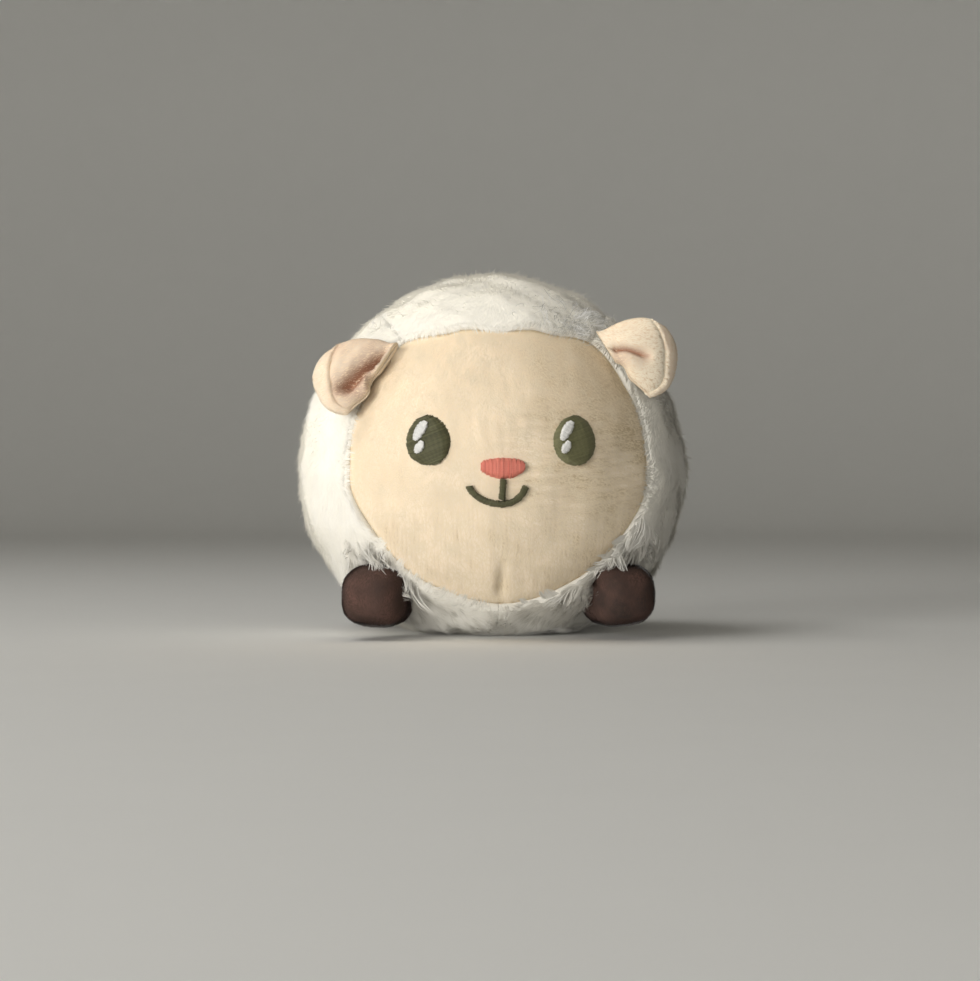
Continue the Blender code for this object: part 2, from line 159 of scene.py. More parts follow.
@dataclass(frozen=True)
class Ball:
    """The stuffed ball that the cloth panels follow.

    Proud is a height over the cloth's backing. Polar angles are radians off the nose line, and turns are
    radians round it, counted from the left side.
    """

    width: float = 0.1150
    depth: float = 0.1130
    crown_rise: float = 0.0600
    belly_drop: float = 0.0500
    floor_squash: float = 0.0040
    floor_blend: float = 0.0015
    fleece_pile: float = 0.0045
    face_pile: float = 0.0020
    backing: float = 0.0008
    seam_gap: float = 0.0003
    face_width: float = 0.0890
    back_panel_width: float = 0.0700
    face_seam: tuple[tuple[float, float], ...] = (
        (-90, 0.98), (-62, 0.94), (-32, 0.92), (0, 1.00), (30, 1.06), (52, 1.11), (72, 0.97), (90, 0.91),
    )
    crown_seam_turn: float = 54
    gather_share: float = 0.60
    gather_turn: float = 22
    side_columns: int = 16
    crown_columns: int = 8
    shift: tuple[float, float] = (0.0, 0.0)

    @property
    def waist(self) -> float:
        """Height of the ball's widest level over the floor."""
        return self.belly_drop - self.floor_squash

    @property
    def columns(self) -> int:
        """Columns all round the nose line."""
        return 2 * self.side_columns + self.crown_columns

    @property
    def back_polar(self) -> float:
        """Polar angle of the seam round the back panel."""
        return pi - asin(self.back_panel_width / self.width)

    @property
    def gap_angle(self) -> float:
        """Half a seam gap, as an angle at the middle of the ball."""
        return self.seam_gap / self.width

    def half_sizes(self, proud: Array, upper: Array) -> tuple[Array, Array, Array]:
        """Half width, half depth and half height of the ball at a layer; upper is true above the waist."""
        grow = proud - self.fleece_pile
        rise = np.where(upper, self.crown_rise, self.belly_drop)
        return self.width / 2 + grow, self.depth / 2 + grow, rise + grow

    def soft_floor(self, height: Array, floor: Array) -> Array:
        """The larger of two heights, with a rounded change between them."""
        share = np.clip(0.5 + (height - floor) / (2 * self.floor_blend), 0, 1)
        return floor + (height - floor) * share + self.floor_blend * share * (1 - share)

    def point(self, polar: Array, turn: Array, proud: Array) -> Array:
        """Places on the body, as rows."""
        half_x, half_y, half_z = self.half_sizes(proud, np.sin(turn) > 0)
        height = self.waist + half_z * np.sin(polar) * np.sin(turn)
        x = half_x * np.sin(polar) * np.cos(turn) + self.shift[0]
        y = -half_y * np.cos(polar) + self.shift[1]
        z = self.soft_floor(height, self.fleece_pile - proud)
        return np.stack(np.broadcast_arrays(x, y, z), axis=-1)

    def front_point(self, across: Array, level: Array, proud: Array) -> Array:
        """Places on the face, given as seen from the front."""
        half_x, half_y, half_z = self.half_sizes(proud, level > self.waist)
        flat = (across / half_x) ** 2 + ((level - self.waist) / half_z) ** 2
        y = -half_y * np.sqrt(np.maximum(1 - flat, 0)) + self.shift[1]
        return np.stack(np.broadcast_arrays(across + self.shift[0], y, level), axis=-1)

    def normal(self, polar: Array, turn: Array, proud: Array) -> Array:
        """Directions straight off the body at these places."""
        step = radians(1)
        along = self.point(polar + step, turn, proud) - self.point(polar - step, turn, proud)
        around = self.point(polar, turn + step, proud) - self.point(polar, turn - step, proud)
        straight = unit(np.cross(along, around))
        outward = self.point(polar, turn, proud + MM) - self.point(polar, turn, proud)
        return straight * np.sign(dots(straight, outward))

    @property
    def middle(self) -> Array:
        """The ball's middle, at its widest level."""
        return np.array([*self.shift, self.waist])

    def scaled(self, points: Array, proud: float) -> tuple[Array, Array]:
        """Offsets of points from the middle as shares of a layer's half sizes, and those half sizes."""
        halves = np.stack(np.broadcast_arrays(*self.half_sizes(proud, points[:, 2] > self.waist)), axis=-1)
        return (points - self.middle) / halves, halves

    def facing(self, points: Array) -> Array:
        """Directions straight off the ball at these points, as though its panels had no edges."""
        shares, halves = self.scaled(points, 0.0)
        return unit(shares / halves)

    def inside(self, points: Array, proud: float) -> Array:
        """How far out points are, as a share of the ball at a layer: under 1 is inside."""
        return np.linalg.norm(self.scaled(points, proud)[0], axis=1)

    def keep_out(self, points: Array, proud: float) -> Array:
        """The points, with those inside the ball moved out to its surface at a layer."""
        share = np.minimum(self.inside(points, proud), 1)[:, None]
        return self.middle + (points - self.middle) / np.maximum(share, 0.05)

    def face_polar(self, turn: Array) -> Array:
        """Polar angle of the face seam at each turn."""
        at = 90 - np.abs((90 - np.degrees(turn) + 180) % 360 - 180)
        angles, shares = np.array(self.face_seam).T
        low = np.clip(np.searchsorted(angles, at) - 1, 0, len(angles) - 2)
        part = smooth_step((at - angles[low]) / (angles[low + 1] - angles[low]))
        return asin(self.face_width / self.width) * (shares[low] + part * (shares[low + 1] - shares[low]))

    def column_turn(self, column: Array) -> Array:
        """Turn of each column, with the columns drawn together at the dart."""
        mirrored = column > self.columns / 2
        near = np.where(mirrored, self.columns - column, column)
        seam = radians(self.crown_seam_turn)
        side = np.minimum(near / self.side_columns, 1) * (seam + pi / 2)
        crown = np.maximum(near - self.side_columns, 0) / self.crown_columns * (pi - 2 * seam)
        off = side + crown
        turn = off * (1 - self.gather_share * bell(off, radians(self.gather_turn))) - pi / 2
        return np.where(mirrored, pi - turn, turn)

    def disc_turn(self, x: Array, y: Array) -> Array:
        """Turn of the column at a place on a round slab."""
        return self.column_turn(self.columns * (np.arctan2(y, x) / (2 * pi) % 1))


class Value:
    """A shader socket whose Python operators add Math nodes."""

    def __init__(self, sheet: "NodeSheet", socket: bpy.types.NodeSocket) -> None:
        """Keeps the socket and the sheet that it is on."""
        self.sheet = sheet
        self.socket = socket

    def _math(self, operation: str, *values: "Value | float") -> "Value":
        """A Math node of these values."""
        return self.sheet.add("ShaderNodeMath", dict(enumerate(values)), operation=operation)

    def __add__(self, other: "Value | float") -> "Value":
        """self + other."""
        return self._math("ADD", self, other)

    __radd__ = __add__

    def __sub__(self, other: "Value | float") -> "Value":
        """self - other."""
        return self._math("SUBTRACT", self, other)

    def __rsub__(self, other: float) -> "Value":
        """other - self."""
        return self._math("SUBTRACT", other, self)

    def __mul__(self, other: "Value | float") -> "Value":
        """self * other."""
        return self._math("MULTIPLY", self, other)

    __rmul__ = __mul__

    def __truediv__(self, other: "Value | float") -> "Value":
        """self / other."""
        return self._math("DIVIDE", self, other)

    def __pow__(self, other: float) -> "Value":
        """self ** other."""
        return self._math("POWER", self, other)

    def floor(self) -> "Value":
        """The whole part."""
        return self._math("FLOOR", self)

    def fraction(self) -> "Value":
        """The part after the point."""
        return self._math("FRACT", self)

    def sine(self) -> "Value":
        """The sine, in radians."""
        return self._math("SINE", self)


class NodeSheet:
    """The nodes of one material."""

    def __init__(self, name: str) -> None:
        """Starts an empty material of this name."""
        self.material = bpy.data.materials.new(name)
        self.material.use_nodes = True
        self.tree = self.material.node_tree
        self.tree.nodes.clear()

    def add(self, kind: str, values: dict, output: int | str = 0, **settings) -> Value:
        """Adds a node.

        Args:
            kind: The node's type.
            values: Its inputs by name or number, as links or plain values.
            output: The output to hand back.
            settings: The node's own settings.

        Returns:
            The chosen output.
        """
        node = self.tree.nodes.new(kind)
        for name, setting in settings.items():
            setattr(node, name, setting)
        for name, value in values.items():
            if isinstance(value, Value):
                self.tree.links.new(value.socket, node.inputs[name])
            elif isinstance(value, tuple) and len(value) == 3 and node.inputs[name].type == "RGBA":
                node.inputs[name].default_value = (*value, 1)
            else:
                node.inputs[name].default_value = value
        return Value(self, node.outputs[output])

    def mix(
        self, share: Value | float, first: Value | Colour, second: Value | Colour, blend: str = "MIX"
    ) -> Value:
        """A colour between two colours."""
        return self.add(
            "ShaderNodeMix", {0: share, 6: first, 7: second}, 2, data_type="RGBA", blend_type=blend
        )

    def noise(self, scale: float, detail: float = 2, roughness: float = 0.5) -> Value:
        """Cloudy noise from 0 to 1 on the object's own coordinates."""
        where = self.add("ShaderNodeTexCoord", {}, "Object")
        values = {"Vector": where, "Scale": scale, "Detail": detail, "Roughness": roughness}
        return self.add("ShaderNodeTexNoise", values, "Fac")

    def strand(self) -> tuple[Value, Value, Value]:
        """A fibre's tone, the place across it and the place along it, all from 0 to 1."""
        chart = self.add("ShaderNodeUVMap", {}, uv_map=PILE_MAP)
        across = self.add("ShaderNodeSeparateXYZ", {0: chart})
        along = Value(self, across.socket.node.outputs["Y"])
        column = across * TONES
        return column.floor() / (TONES - 1), column.fraction(), along

    def finish(self, values: dict) -> bpy.types.Material:
        """Ends the material in one Principled shader with these inputs."""
        shader = self.add("ShaderNodeBsdfPrincipled", values, "BSDF")
        output = self.tree.nodes.new("ShaderNodeOutputMaterial")
        self.tree.links.new(shader.socket, output.inputs["Surface"])
        return self.material


@dataclass(frozen=True)
class PileFinish:
    """Fibres whose colour comes from their tone, with painted shade that darkens them towards the root."""

    name: str
    light: Colour
    deep: Colour
    root_share: float
    root_fade: float = 0.6
    roughness: float = 0.85
    sheen: float = 0.12

    def material(self) -> bpy.types.Material:
        """The fibres' material."""
        sheet = NodeSheet(self.name)
        tone, _, along = sheet.strand()
        body = sheet.mix(tone, self.deep, self.light)
        # Painted shade: each fibre darkens towards its root, where the pile would shade itself.
        shade = sheet.mix(along ** self.root_fade, (self.root_share,) * 3, (1.0, 1.0, 1.0))
        return sheet.finish({
            "Base Color": sheet.mix(1.0, body, shade, "MULTIPLY"), "Roughness": self.roughness,
            "Sheen Weight": self.sheen, "Sheen Roughness": 0.4, "Specular IOR Level": 0.25,
        })


@dataclass(frozen=True)
class ClothFinish:
    """Cloth under the pile: mottled, with a fine nap."""

    name: str
    light: Colour
    deep: Colour
    mottle: float = 260
    nap: float = 2600
    bump: float = 0.35
    bump_height: float = 0.0004
    cloud_share: float = 0.6
    roughness: float = 0.92

    def material(self) -> bpy.types.Material:
        """The cloth's material."""
        sheet = NodeSheet(self.name)
        clouds = sheet.noise(self.mottle, 3)
        nap = sheet.noise(self.nap, 2, 0.6)
        share = clouds * self.cloud_share + nap * (1 - self.cloud_share)
        colour = sheet.mix(share, self.deep, self.light)
        normal = sheet.add(
            "ShaderNodeBump", {"Height": nap, "Strength": self.bump, "Distance": self.bump_height}
        )
        return sheet.finish({
            "Base Color": colour, "Roughness": self.roughness, "Normal": normal, "Specular IOR Level": 0.2,
        })


@dataclass(frozen=True)
class ThreadFinish:
    """Satin-stitch thread, plied along its length, with painted light and shade in stripes along the twist.
    """

    name: str
    light: Colour
    deep: Colour
    plies: float = 9
    ply_share: float = 0.15
    roughness: float = 0.45
    gloss_spread: float = 0.1

    def material(self) -> bpy.types.Material:
        """The thread's material."""
        sheet = NodeSheet(self.name)
        tone, across, along = sheet.strand()
        ply = ((along * self.plies + across) * (2 * pi)).sine() * 0.5 + 0.5
        # The ply wave lightens and darkens the thread in stripes: painted light and shade of the twist.
        colour = sheet.mix(tone * (1 - self.ply_share) + ply * self.ply_share, self.deep, self.light)
        return sheet.finish({
            "Base Color": colour, "Roughness": self.roughness + ply * self.gloss_spread,
            "Sheen Weight": 0.05, "Specular IOR Level": 0.35,
        })


@dataclass(frozen=True)
class StudioFinish:
    """A plain matt surface of the studio, with the faintest grain."""

    name: str
    shade: Colour
    grain: float = 40
    lightening: float = 1.02

    def material(self) -> bpy.types.Material:
        """The surface's material."""
        sheet = NodeSheet(self.name)
        lighter = tuple(min(part * self.lightening, 1) for part in self.shade)
        colour = sheet.mix(sheet.noise(self.grain), self.shade, lighter)
        return sheet.finish({"Base Color": colour, "Roughness": 0.9})


@dataclass
class Cloth:
    """A closed piece of cloth, with each point's place on its flat pattern."""

    piece: bpy.types.Object
    units: Array
    grows: Array


def flat_slab(columns: int, rows: int) -> bmesh.types.BMesh:
    """A closed slab of cells, one long, one wide and one thick, ready to be bent."""
    bm = bmesh.new()
    middle = Matrix.Translation((0.5, 0.5, 0))
    bmesh.ops.create_grid(bm, x_segments=columns, y_segments=rows, size=0.5, matrix=middle)
    grown = bmesh.ops.extrude_face_region(bm, geom=bm.faces[:])["geom"]
    top = [item for item in grown if isinstance(item, bmesh.types.BMVert)]
    bmesh.ops.translate(bm, verts=top, vec=(0, 0, 1))
    return bm


def spun(profile: Sequence[tuple[float, float]], steps: int, merge: float) -> bmesh.types.BMesh:
    """Spins a profile once round the upright axis.

    Args:
        profile: How far out and how far up each of its points is.
        steps: Faces round the axis.
        merge: Points nearer than this become one.

    Returns:
        The spun mesh.
    """
    bm = bmesh.new()
    chain = [bm.verts.new((out, 0, up)) for out, up in profile]
    for start, end in zip(chain, chain[1:]):
        bm.edges.new((start, end))
    bmesh.ops.spin(
        bm, geom=bm.verts[:] + bm.edges[:], axis=(0, 0, 1), cent=(0, 0, 0),
        angle=2 * pi, steps=steps, use_merge=True,
    )
    bmesh.ops.remove_doubles(bm, verts=bm.verts, dist=merge)
    return bm


def round_slab(columns: int, rings: int) -> bmesh.types.BMesh:
    """A closed disc of radius one and thickness one: a spoke spun once round."""
    lower = [(ring / rings, 0) for ring in range(rings + 1)]
    upper = [(ring / rings, 1) for ring in range(rings, -1, -1)]
    return spun(lower + upper, columns, 1 / (columns * rings))


def round_ball(columns: int, rings: int) -> bmesh.types.BMesh:
    """A ball of radius one."""
    bm = bmesh.new()
    bmesh.ops.create_uvsphere(bm, u_segments=columns, v_segments=rings, radius=1)
    return bm


def fit_out(
    piece: bpy.types.Object, look: bpy.types.Material, body: str = "body", node: str = ""
) -> None:
    """Gives a piece its material and its body and, where it stands for a CAD node, hides that node."""
    bpy.context.scene.collection.objects.link(piece)
    piece.data.materials.append(look)
    log.info("%s: %d faces on %s", piece.name, len(piece.data.polygons), body)
    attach(piece, body)
    if node:
        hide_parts(node)


def settled(bm: bmesh.types.BMesh) -> tuple[Array, list[list[int]]]:
    """A shape's points and faces in an order that is the same at each run.

    The operators leave another order each time, and the random draws would follow it.

    Args:
        bm: The shape, which is used up.

    Returns:
        The points as rows, and the corners of each face.
    """
    bmesh.ops.recalc_face_normals(bm, faces=bm.faces)
    bm.verts.index_update()
    points = np.round([vert.co[:] for vert in bm.verts], 6)
    order = np.lexsort(points.T)
    rank = np.argsort(order).tolist()
    faces = []
    for face in bm.faces:
        corners = [rank[vert.index] for vert in face.verts]
        first = corners.index(min(corners))
        faces.append(corners[first:] + corners[:first])
    bm.free()
    return points[order], sorted(faces)


def triangles(mesh: bpy.types.Mesh) -> tuple[Array, Array]:
    """Corners of a mesh's triangles, and the places of all its points."""
    mesh.calc_loop_triangles()
    corners = np.zeros(len(mesh.loop_triangles) * 3, np.int32)
    mesh.loop_triangles.foreach_get("vertices", corners)
    spots = np.zeros(len(mesh.vertices) * 3, np.float32)
    mesh.vertices.foreach_get("co", spots)
    return corners.reshape(-1, 3), spots.reshape(-1, 3).astype(float)


def smooth_mesh(name: str, points: Array, faces: list[list[int]]) -> bpy.types.Mesh:
    """A smooth mesh of these faces; a closed one is turned to look outward."""
    mesh = bpy.data.meshes.new(name)
    mesh.from_pydata(points.tolist(), [], faces)
    corners, spots = triangles(mesh)
    first, second, third = (spots[corners[:, corner]] for corner in range(3))
    if np.sum(first * np.cross(second, third)) < 0:
        mesh.flip_normals()
    mesh.shade_smooth()
    return mesh


def on_top(units: Array) -> Array:
    """True for the points of a slab's top."""
    return units[:, 2] > 0.5


def everywhere(units: Array) -> Array:
    """True for every point."""
    return np.ones(len(units), bool)


def bend_cloth(
    name: str, bm: bmesh.types.BMesh, place: Callable[[Array], Array], grows: Callable[[Array], Array]
) -> Cloth:
    """Makes a closed piece from a slab.

    Args:
        name: The piece's name.
        bm: The slab, which is used up.
        place: Turns the slab's points into places on the toy.
        grows: Tells which of the slab's points bear pile.

    Returns:
        The cloth.
    """
    units, faces = settled(bm)
    piece = bpy.data.objects.new(name, smooth_mesh(name, place(units), faces))
    return Cloth(piece, units, grows(units))


def repeat_shape(
    name: str, template: bmesh.types.BMesh, places: Array, charts: Array, normals: Array | None = None
) -> bpy.types.Object:
    """Makes one piece of many copies of a small shape.

    Args:
        name: The piece's name.
        template: The shape, which is used up.
        places: Where each copy's points go.
        charts: Where each copy's points lie on the map.
        normals: Shading normal of each copy's points, where they don't follow its faces.

    Returns:
        The piece.
    """
    faces = [[vert.index for vert in face.verts] for face in template.faces]
    template.free()
    count, each = places.shape[:2]
    corners = np.concatenate(faces)
    loops = (corners[None, :] + each * np.arange(count)[:, None]).ravel().astype(np.int32)
    sizes = np.tile([len(face) for face in faces], count)
    mesh = bpy.data.meshes.new(name)
    mesh.vertices.add(count * each)
    mesh.vertices.foreach_set("co", places.astype(np.float32).ravel())
    mesh.loops.add(len(loops))
    mesh.loops.foreach_set("vertex_index", loops)
    mesh.polygons.add(len(sizes))
    mesh.polygons.foreach_set("loop_start", (np.cumsum(sizes) - sizes).astype(np.int32))
    layer = mesh.uv_layers.new(name=PILE_MAP)
    layer.data.foreach_set("uv", charts.reshape(-1, 2)[loops].astype(np.float32).ravel())
    mesh.update(calc_edges=True)
    mesh.validate()
    mesh.shade_smooth()
    if normals is not None:
        mesh.normals_split_custom_set_from_vertices(normals.reshape(-1, 3))
    return bpy.data.objects.new(name, mesh)


def tone_charts(tones: Array, across: Array, along: Array) -> Array:
    """Places of repeated shapes on the map: a column for each tone, root at the bottom and tip at the top.

    Args:
        tones: Tone of each copy, 0 to 1.
        across: Each template point's place across, -0.5 to 0.5.
        along: Each template point's place along, 0 to 1.

    Returns:
        A map place for each point of each copy.
    """
    column = np.clip((tones * TONES).astype(int), 0, TONES - 1)[:, None]
    u = (column + 0.5 + across[None, :] * 0.7) / TONES
    v = np.broadcast_to(0.02 + 0.96 * along[None, :], u.shape)
    return np.stack([u, v], axis=-1)


@dataclass
class Roots:
    """Where fibres leave the cloth."""

    points: Array
    normals: Array
    units: Array

    @classmethod
    def on(cls, cloth: Cloth, density: float, seed: int) -> "Roots":
        """Spreads roots evenly over the part of a cloth that bears pile.

        Args:
            cloth: The cloth.
            density: Fibres for each square millimetre.
            seed: Number of the draw.

        Returns:
            The roots.
        """
        mesh = cloth.piece.data
        corners, spots = triangles(mesh)
        corners = corners[cloth.grows[corners].all(axis=1)]
        straight = np.zeros(spots.size, np.float32)
        mesh.vertices.foreach_get("normal", straight)
        straight = straight.reshape(-1, 3).astype(float)
        first, second, third = (spots[corners[:, corner]] for corner in range(3))
        areas = np.linalg.norm(np.cross(second - first, third - first), axis=1) / 2
        rng = np.random.default_rng(seed)
        count = int(areas.sum() / MM ** 2 * density)
        chosen = corners[rng.choice(len(corners), size=count, p=areas / areas.sum())]
        lean, part = rng.random(count) ** 0.5, rng.random(count)
        weights = np.stack([1 - lean, lean * (1 - part), lean * part], axis=-1)[:, :, None]
        points, normals, units = (
            (values[chosen] * weights).sum(axis=1) for values in (spots, straight, cloth.units)
        )
        return cls(points, unit(normals), units)

    def only(self, keep: Array) -> "Roots":
        """The roots for which keep is true."""
        return Roots(self.points[keep], self.normals[keep], self.units[keep])

    def comb(self, direction: Array, wander: float, length: float, seed: int) -> Array:
        """Lay of the pile: a direction pressed onto the cloth, which wanders a little.

        Args:
            direction: One direction, or one for each root.
            wander: Spread of the wander in degrees.
            length: How far apart its swirls are.
            seed: Number of the pattern.

        Returns:
            A unit direction in the cloth for each root.
        """
        direction = np.broadcast_to(direction, self.points.shape)
        lay = unit(direction - dots(direction, self.normals) * self.normals)
        aside = np.cross(self.normals, lay)
        angle = (radians(wander) * waves(self.points, length, seed))[:, None]
        return lay * np.cos(angle) + aside * np.sin(angle)


@dataclass
class Growth:
    """How the pile grows at each root: its lay, tone, share of the length, clump pull and lift in degrees.

    Facing is the way that the pile as a whole faces, where that isn't the way of the cloth under it.
    """

    lay: Array
    tone: Array
    length: Array | float = 1.0
    pull: Array | float = 0.0
    lift: Array | float = 0.0
    facing: Array | None = None


@dataclass(frozen=True)
class Shade:
    """How light a pile is: its tone, the spread from fibre to fibre, and clouds over many fibres."""

    tone: float
    spread: float
    clouds: Ripples = ()

    def draw(self, points: Array, rng: np.random.Generator, marks: Array | float = 0.0) -> Array:
        """Draws the tone of each fibre, 0 to 1.

        Args:
            points: The fibres' roots.
            rng: The generator to draw from.
            marks: What the pile's pattern and any painted light or shade add to each tone.

        Returns:
            A tone for each fibre.
        """
        tone = self.tone + marks + self.spread * rng.normal(size=len(points))
        return np.clip(tone + ripples(points, self.clouds), 0, 1)


@dataclass(frozen=True)
class Coat:
    """A kind of pile: fibres as narrow curved blades.

    Light passes through dense pile, so that unless it is told to, it casts no shadow.
    """

    density: float
    length: float
    width: float
    lean: tuple[float, float] = (20, 65)
    segments: int = 3
    roll: float = 35
    scatter: float = 16
    length_spread: float = 0.18
    clump_area: float = 5
    clump_power: float = 1.3
    curl: float = 0.0
    curl_turns: tuple[float, float] = (5, 9)
    curl_height: float = 0.6
    taper: float = 0.55
    sink: float = 0.0004
    floor: float = 0.0003
    softness: float = 0.75
    unevenness: float = 5
    casts_shadow: bool = False

    def blade(self) -> bmesh.types.BMesh:
        """One flat blade with a pointed tip."""
        bm = bmesh.new()
        middle = Matrix.Translation((0, 0.5, 0))
        bmesh.ops.create_grid(bm, x_segments=1, y_segments=self.segments, size=0.5, matrix=middle)
        tips = [vert for vert in bm.verts if vert.co.y > 0.999]
        bmesh.ops.pointmerge(bm, verts=tips, merge_co=(0, 1, 0))
        bm.verts.index_update()
        return bm

    def clumped(self, line: Array, roots: Roots, pull: Array, seed: int) -> Array:
        """Draws the tips of neighbouring fibres together.

        Args:
            line: Points along each fibre.
            roots: The roots.
            pull: How much each fibre is drawn, 0 to 1.
            seed: Number of the draw.

        Returns:
            The points, drawn together.
        """
        rng = np.random.default_rng(seed)
        share = 1 / (self.clump_area * self.density)
        heads = np.flatnonzero(rng.random(len(line)) < share)
        if len(heads) < 2:
            return line
        tree = KDTree(len(heads))
        for order, head in enumerate(heads):
            tree.insert(roots.points[head], order)
        tree.balance()
        near = heads[[tree.find(point)[1] for point in roots.points]]
        along = np.linspace(0, 1, line.shape[1])[None, :, None] ** self.clump_power
        return line + pull[:, None, None] * along * (line[near] - line)

    def grow(self, name: str, roots: Roots, growth: Growth, seed: int) -> bpy.types.Object:
        """Grows the pile.

        Args:
            name: The piece's name.
            roots: Where the fibres leave the cloth.
            growth: How they grow there.
            seed: Number of the draw.

        Returns:
            The pile.
        """
        rng = np.random.default_rng(seed)
        count = len(roots.points)
        length = self.length * growth.length * (1 + self.length_spread * rng.normal(size=count).clip(-2, 2))
        aside = np.cross(roots.normals, growth.lay)
        swing = np.radians(self.scatter * rng.normal(size=count))[:, None]
        lay = growth.lay * np.cos(swing) + aside * np.sin(swing)
        uneven = self.unevenness * rng.normal(size=(2, count))
        low, high = np.radians(np.array(self.lean)[:, None] + uneven - growth.lift)
        high = np.maximum(high, low + 0.05)
        steps = np.linspace(0, 1, self.segments + 1)
        lean = low[:, None] + (high - low)[:, None] * steps
        rise = (np.sin(lean) - np.sin(low)[:, None]) / (high - low)[:, None]
        reach = (np.cos(low)[:, None] - np.cos(lean)) / (high - low)[:, None]
        base = roots.points - roots.normals * self.sink
        line = base[:, None] + length[:, None, None] * (
            roots.normals[:, None] * rise[:, :, None] + lay[:, None] * reach[:, :, None]
        )
        line = self.clumped(line, roots, np.broadcast_to(growth.pull, count), seed + 1)
        if self.curl:
            turns = rng.uniform(0, 2 * pi, count), rng.uniform(*self.curl_turns, count)
            phase = (turns[0][:, None] + steps * turns[1][:, None])[:, :, None]
            swell = (self.curl * steps ** 0.7)[None, :, None]
            side, up = np.cross(roots.normals, lay)[:, None], roots.normals[:, None]
            line = line + swell * (np.cos(phase) * side + self.curl_height * np.sin(phase) * up)
        along = unit(np.gradient(line, axis=1))
        flat = unit(np.cross(along, roots.normals[:, None]))
        roll = np.radians(rng.uniform(-self.roll, self.roll, count))[:, None, None]
        flat = flat * np.cos(roll) + np.cross(along, flat) * np.sin(roll)
        blade = self.blade()
        spots = np.array([vert.co[:2] for vert in blade.verts])
        row = np.rint(spots[:, 1] * self.segments).astype(int)
        across = self.width * (1 - self.taper * spots[:, 1] ** 2) * spots[:, 0]
        places = line[:, row] + flat[:, row] * across[None, :, None]
        places[:, :, 2] = np.maximum(places[:, :, 2], self.floor)
        faced = np.cross(flat, along)
        whole = roots.normals if growth.facing is None else growth.facing
        soft = unit(faced + (whole[:, None] - faced) * self.softness)[:, row]
        pile = repeat_shape(name, blade, places, tone_charts(growth.tone, spots[:, 0], spots[:, 1]), soft)
        pile.visible_shadow = self.casts_shadow
        return pile


@dataclass(frozen=True)
class Fabric:
    """A cloth with its pile: a slot name and the materials of both."""

    slot: str
    cloth_look: bpy.types.Material
    pile_look: bpy.types.Material

    def lay(
        self, name: str, slab: bmesh.types.BMesh, place: Callable[[Array], Array],
        grows: Callable[[Array], Array], node: str, body: str = "body",
    ) -> Cloth:
        """Bends a slab into a cloth that stands for a CAD node."""
        cloth = bend_cloth(f"{name}_cloth", slab, place, grows)
        fit_out(cloth.piece, self.cloth_look, body, node)
        return cloth

    def grow(
        self, name: str, coat: Coat, roots: Roots, growth: Growth, seed: int, body: str = "body"
    ) -> None:
        """Grows a coat on these roots."""
        fit_out(coat.grow(name, roots, growth, seed), self.pile_look, body)


# The root shares darken every pile towards its roots: painted shade.
FLEECE_PILE = PileFinish("fleece_fibres", (0.955, 0.935, 0.885), (0.58, 0.56, 0.50), root_share=0.95)
CURL_PILE = PileFinish("curl_fibres", (1.0, 0.99, 0.97), (0.50, 0.49, 0.45), root_share=0.85, roughness=0.22)
FLEECE_CLOTH = ClothFinish("fleece_backing", (0.94, 0.915, 0.86), (0.84, 0.82, 0.75))
FACE_PILE = PileFinish("face_fibres", (0.99, 0.875, 0.725), (0.66, 0.53, 0.34), root_share=0.96)
FACE_CLOTH = ClothFinish("face_backing", (0.95, 0.83, 0.64), (0.89, 0.76, 0.56), mottle=400)
EAR_PILE = PileFinish("ear_fibres", (1.0, 0.91, 0.75), (0.47, 0.25, 0.16), root_share=0.97)
EAR_CLOTH = ClothFinish("ear_backing", (0.92, 0.78, 0.60), (0.86, 0.70, 0.52))
FOOT_PILE = PileFinish("foot_fibres", (0.175, 0.092, 0.072), (0.058, 0.040, 0.034), root_share=0.92)
FOOT_CLOTH = ClothFinish("foot_backing", (0.110, 0.064, 0.050), (0.070, 0.046, 0.038))
DARK_THREAD = ThreadFinish("dark_thread_satin", (0.235, 0.230, 0.115), (0.060, 0.059, 0.030))
CORAL_THREAD = ThreadFinish("coral_thread_satin", (0.95, 0.33, 0.25), (0.68, 0.18, 0.135))
WHITE_THREAD = ThreadFinish("white_thread_satin", (0.98, 0.97, 0.95), (0.74, 0.74, 0.72), roughness=0.35)
FILLING = ClothFinish("loose_filling", (0.88, 0.88, 0.87), (0.76, 0.76, 0.75), mottle=90, nap=700, bump=0.8)
BACKDROP = StudioFinish("pale_backdrop", (0.88, 0.88, 0.86))


@dataclass(frozen=True)
class Effect:
    """What a kind of place adds to the fleece: clump pull, share of the length and lift in degrees."""

    pull: float
    length: float
    lift: float


@dataclass
class Seam:
    """The face seam at each root: nearness, turn in degrees, and where it is ragged and where its rim is."""

    near: Array
    turn: Array
    ragged: Array
    rim: Array


@dataclass(frozen=True)
class TuftPatch:
    """Ragged tufts over a front foot, and with a seam share along the lower face seam too.

    The patch lies a share of the foot's offset inward of its middle, and a rise over it.
    """

    inward: float
    rise: float
    spread: float
    way: Spot
    seam_share: float = 0.0


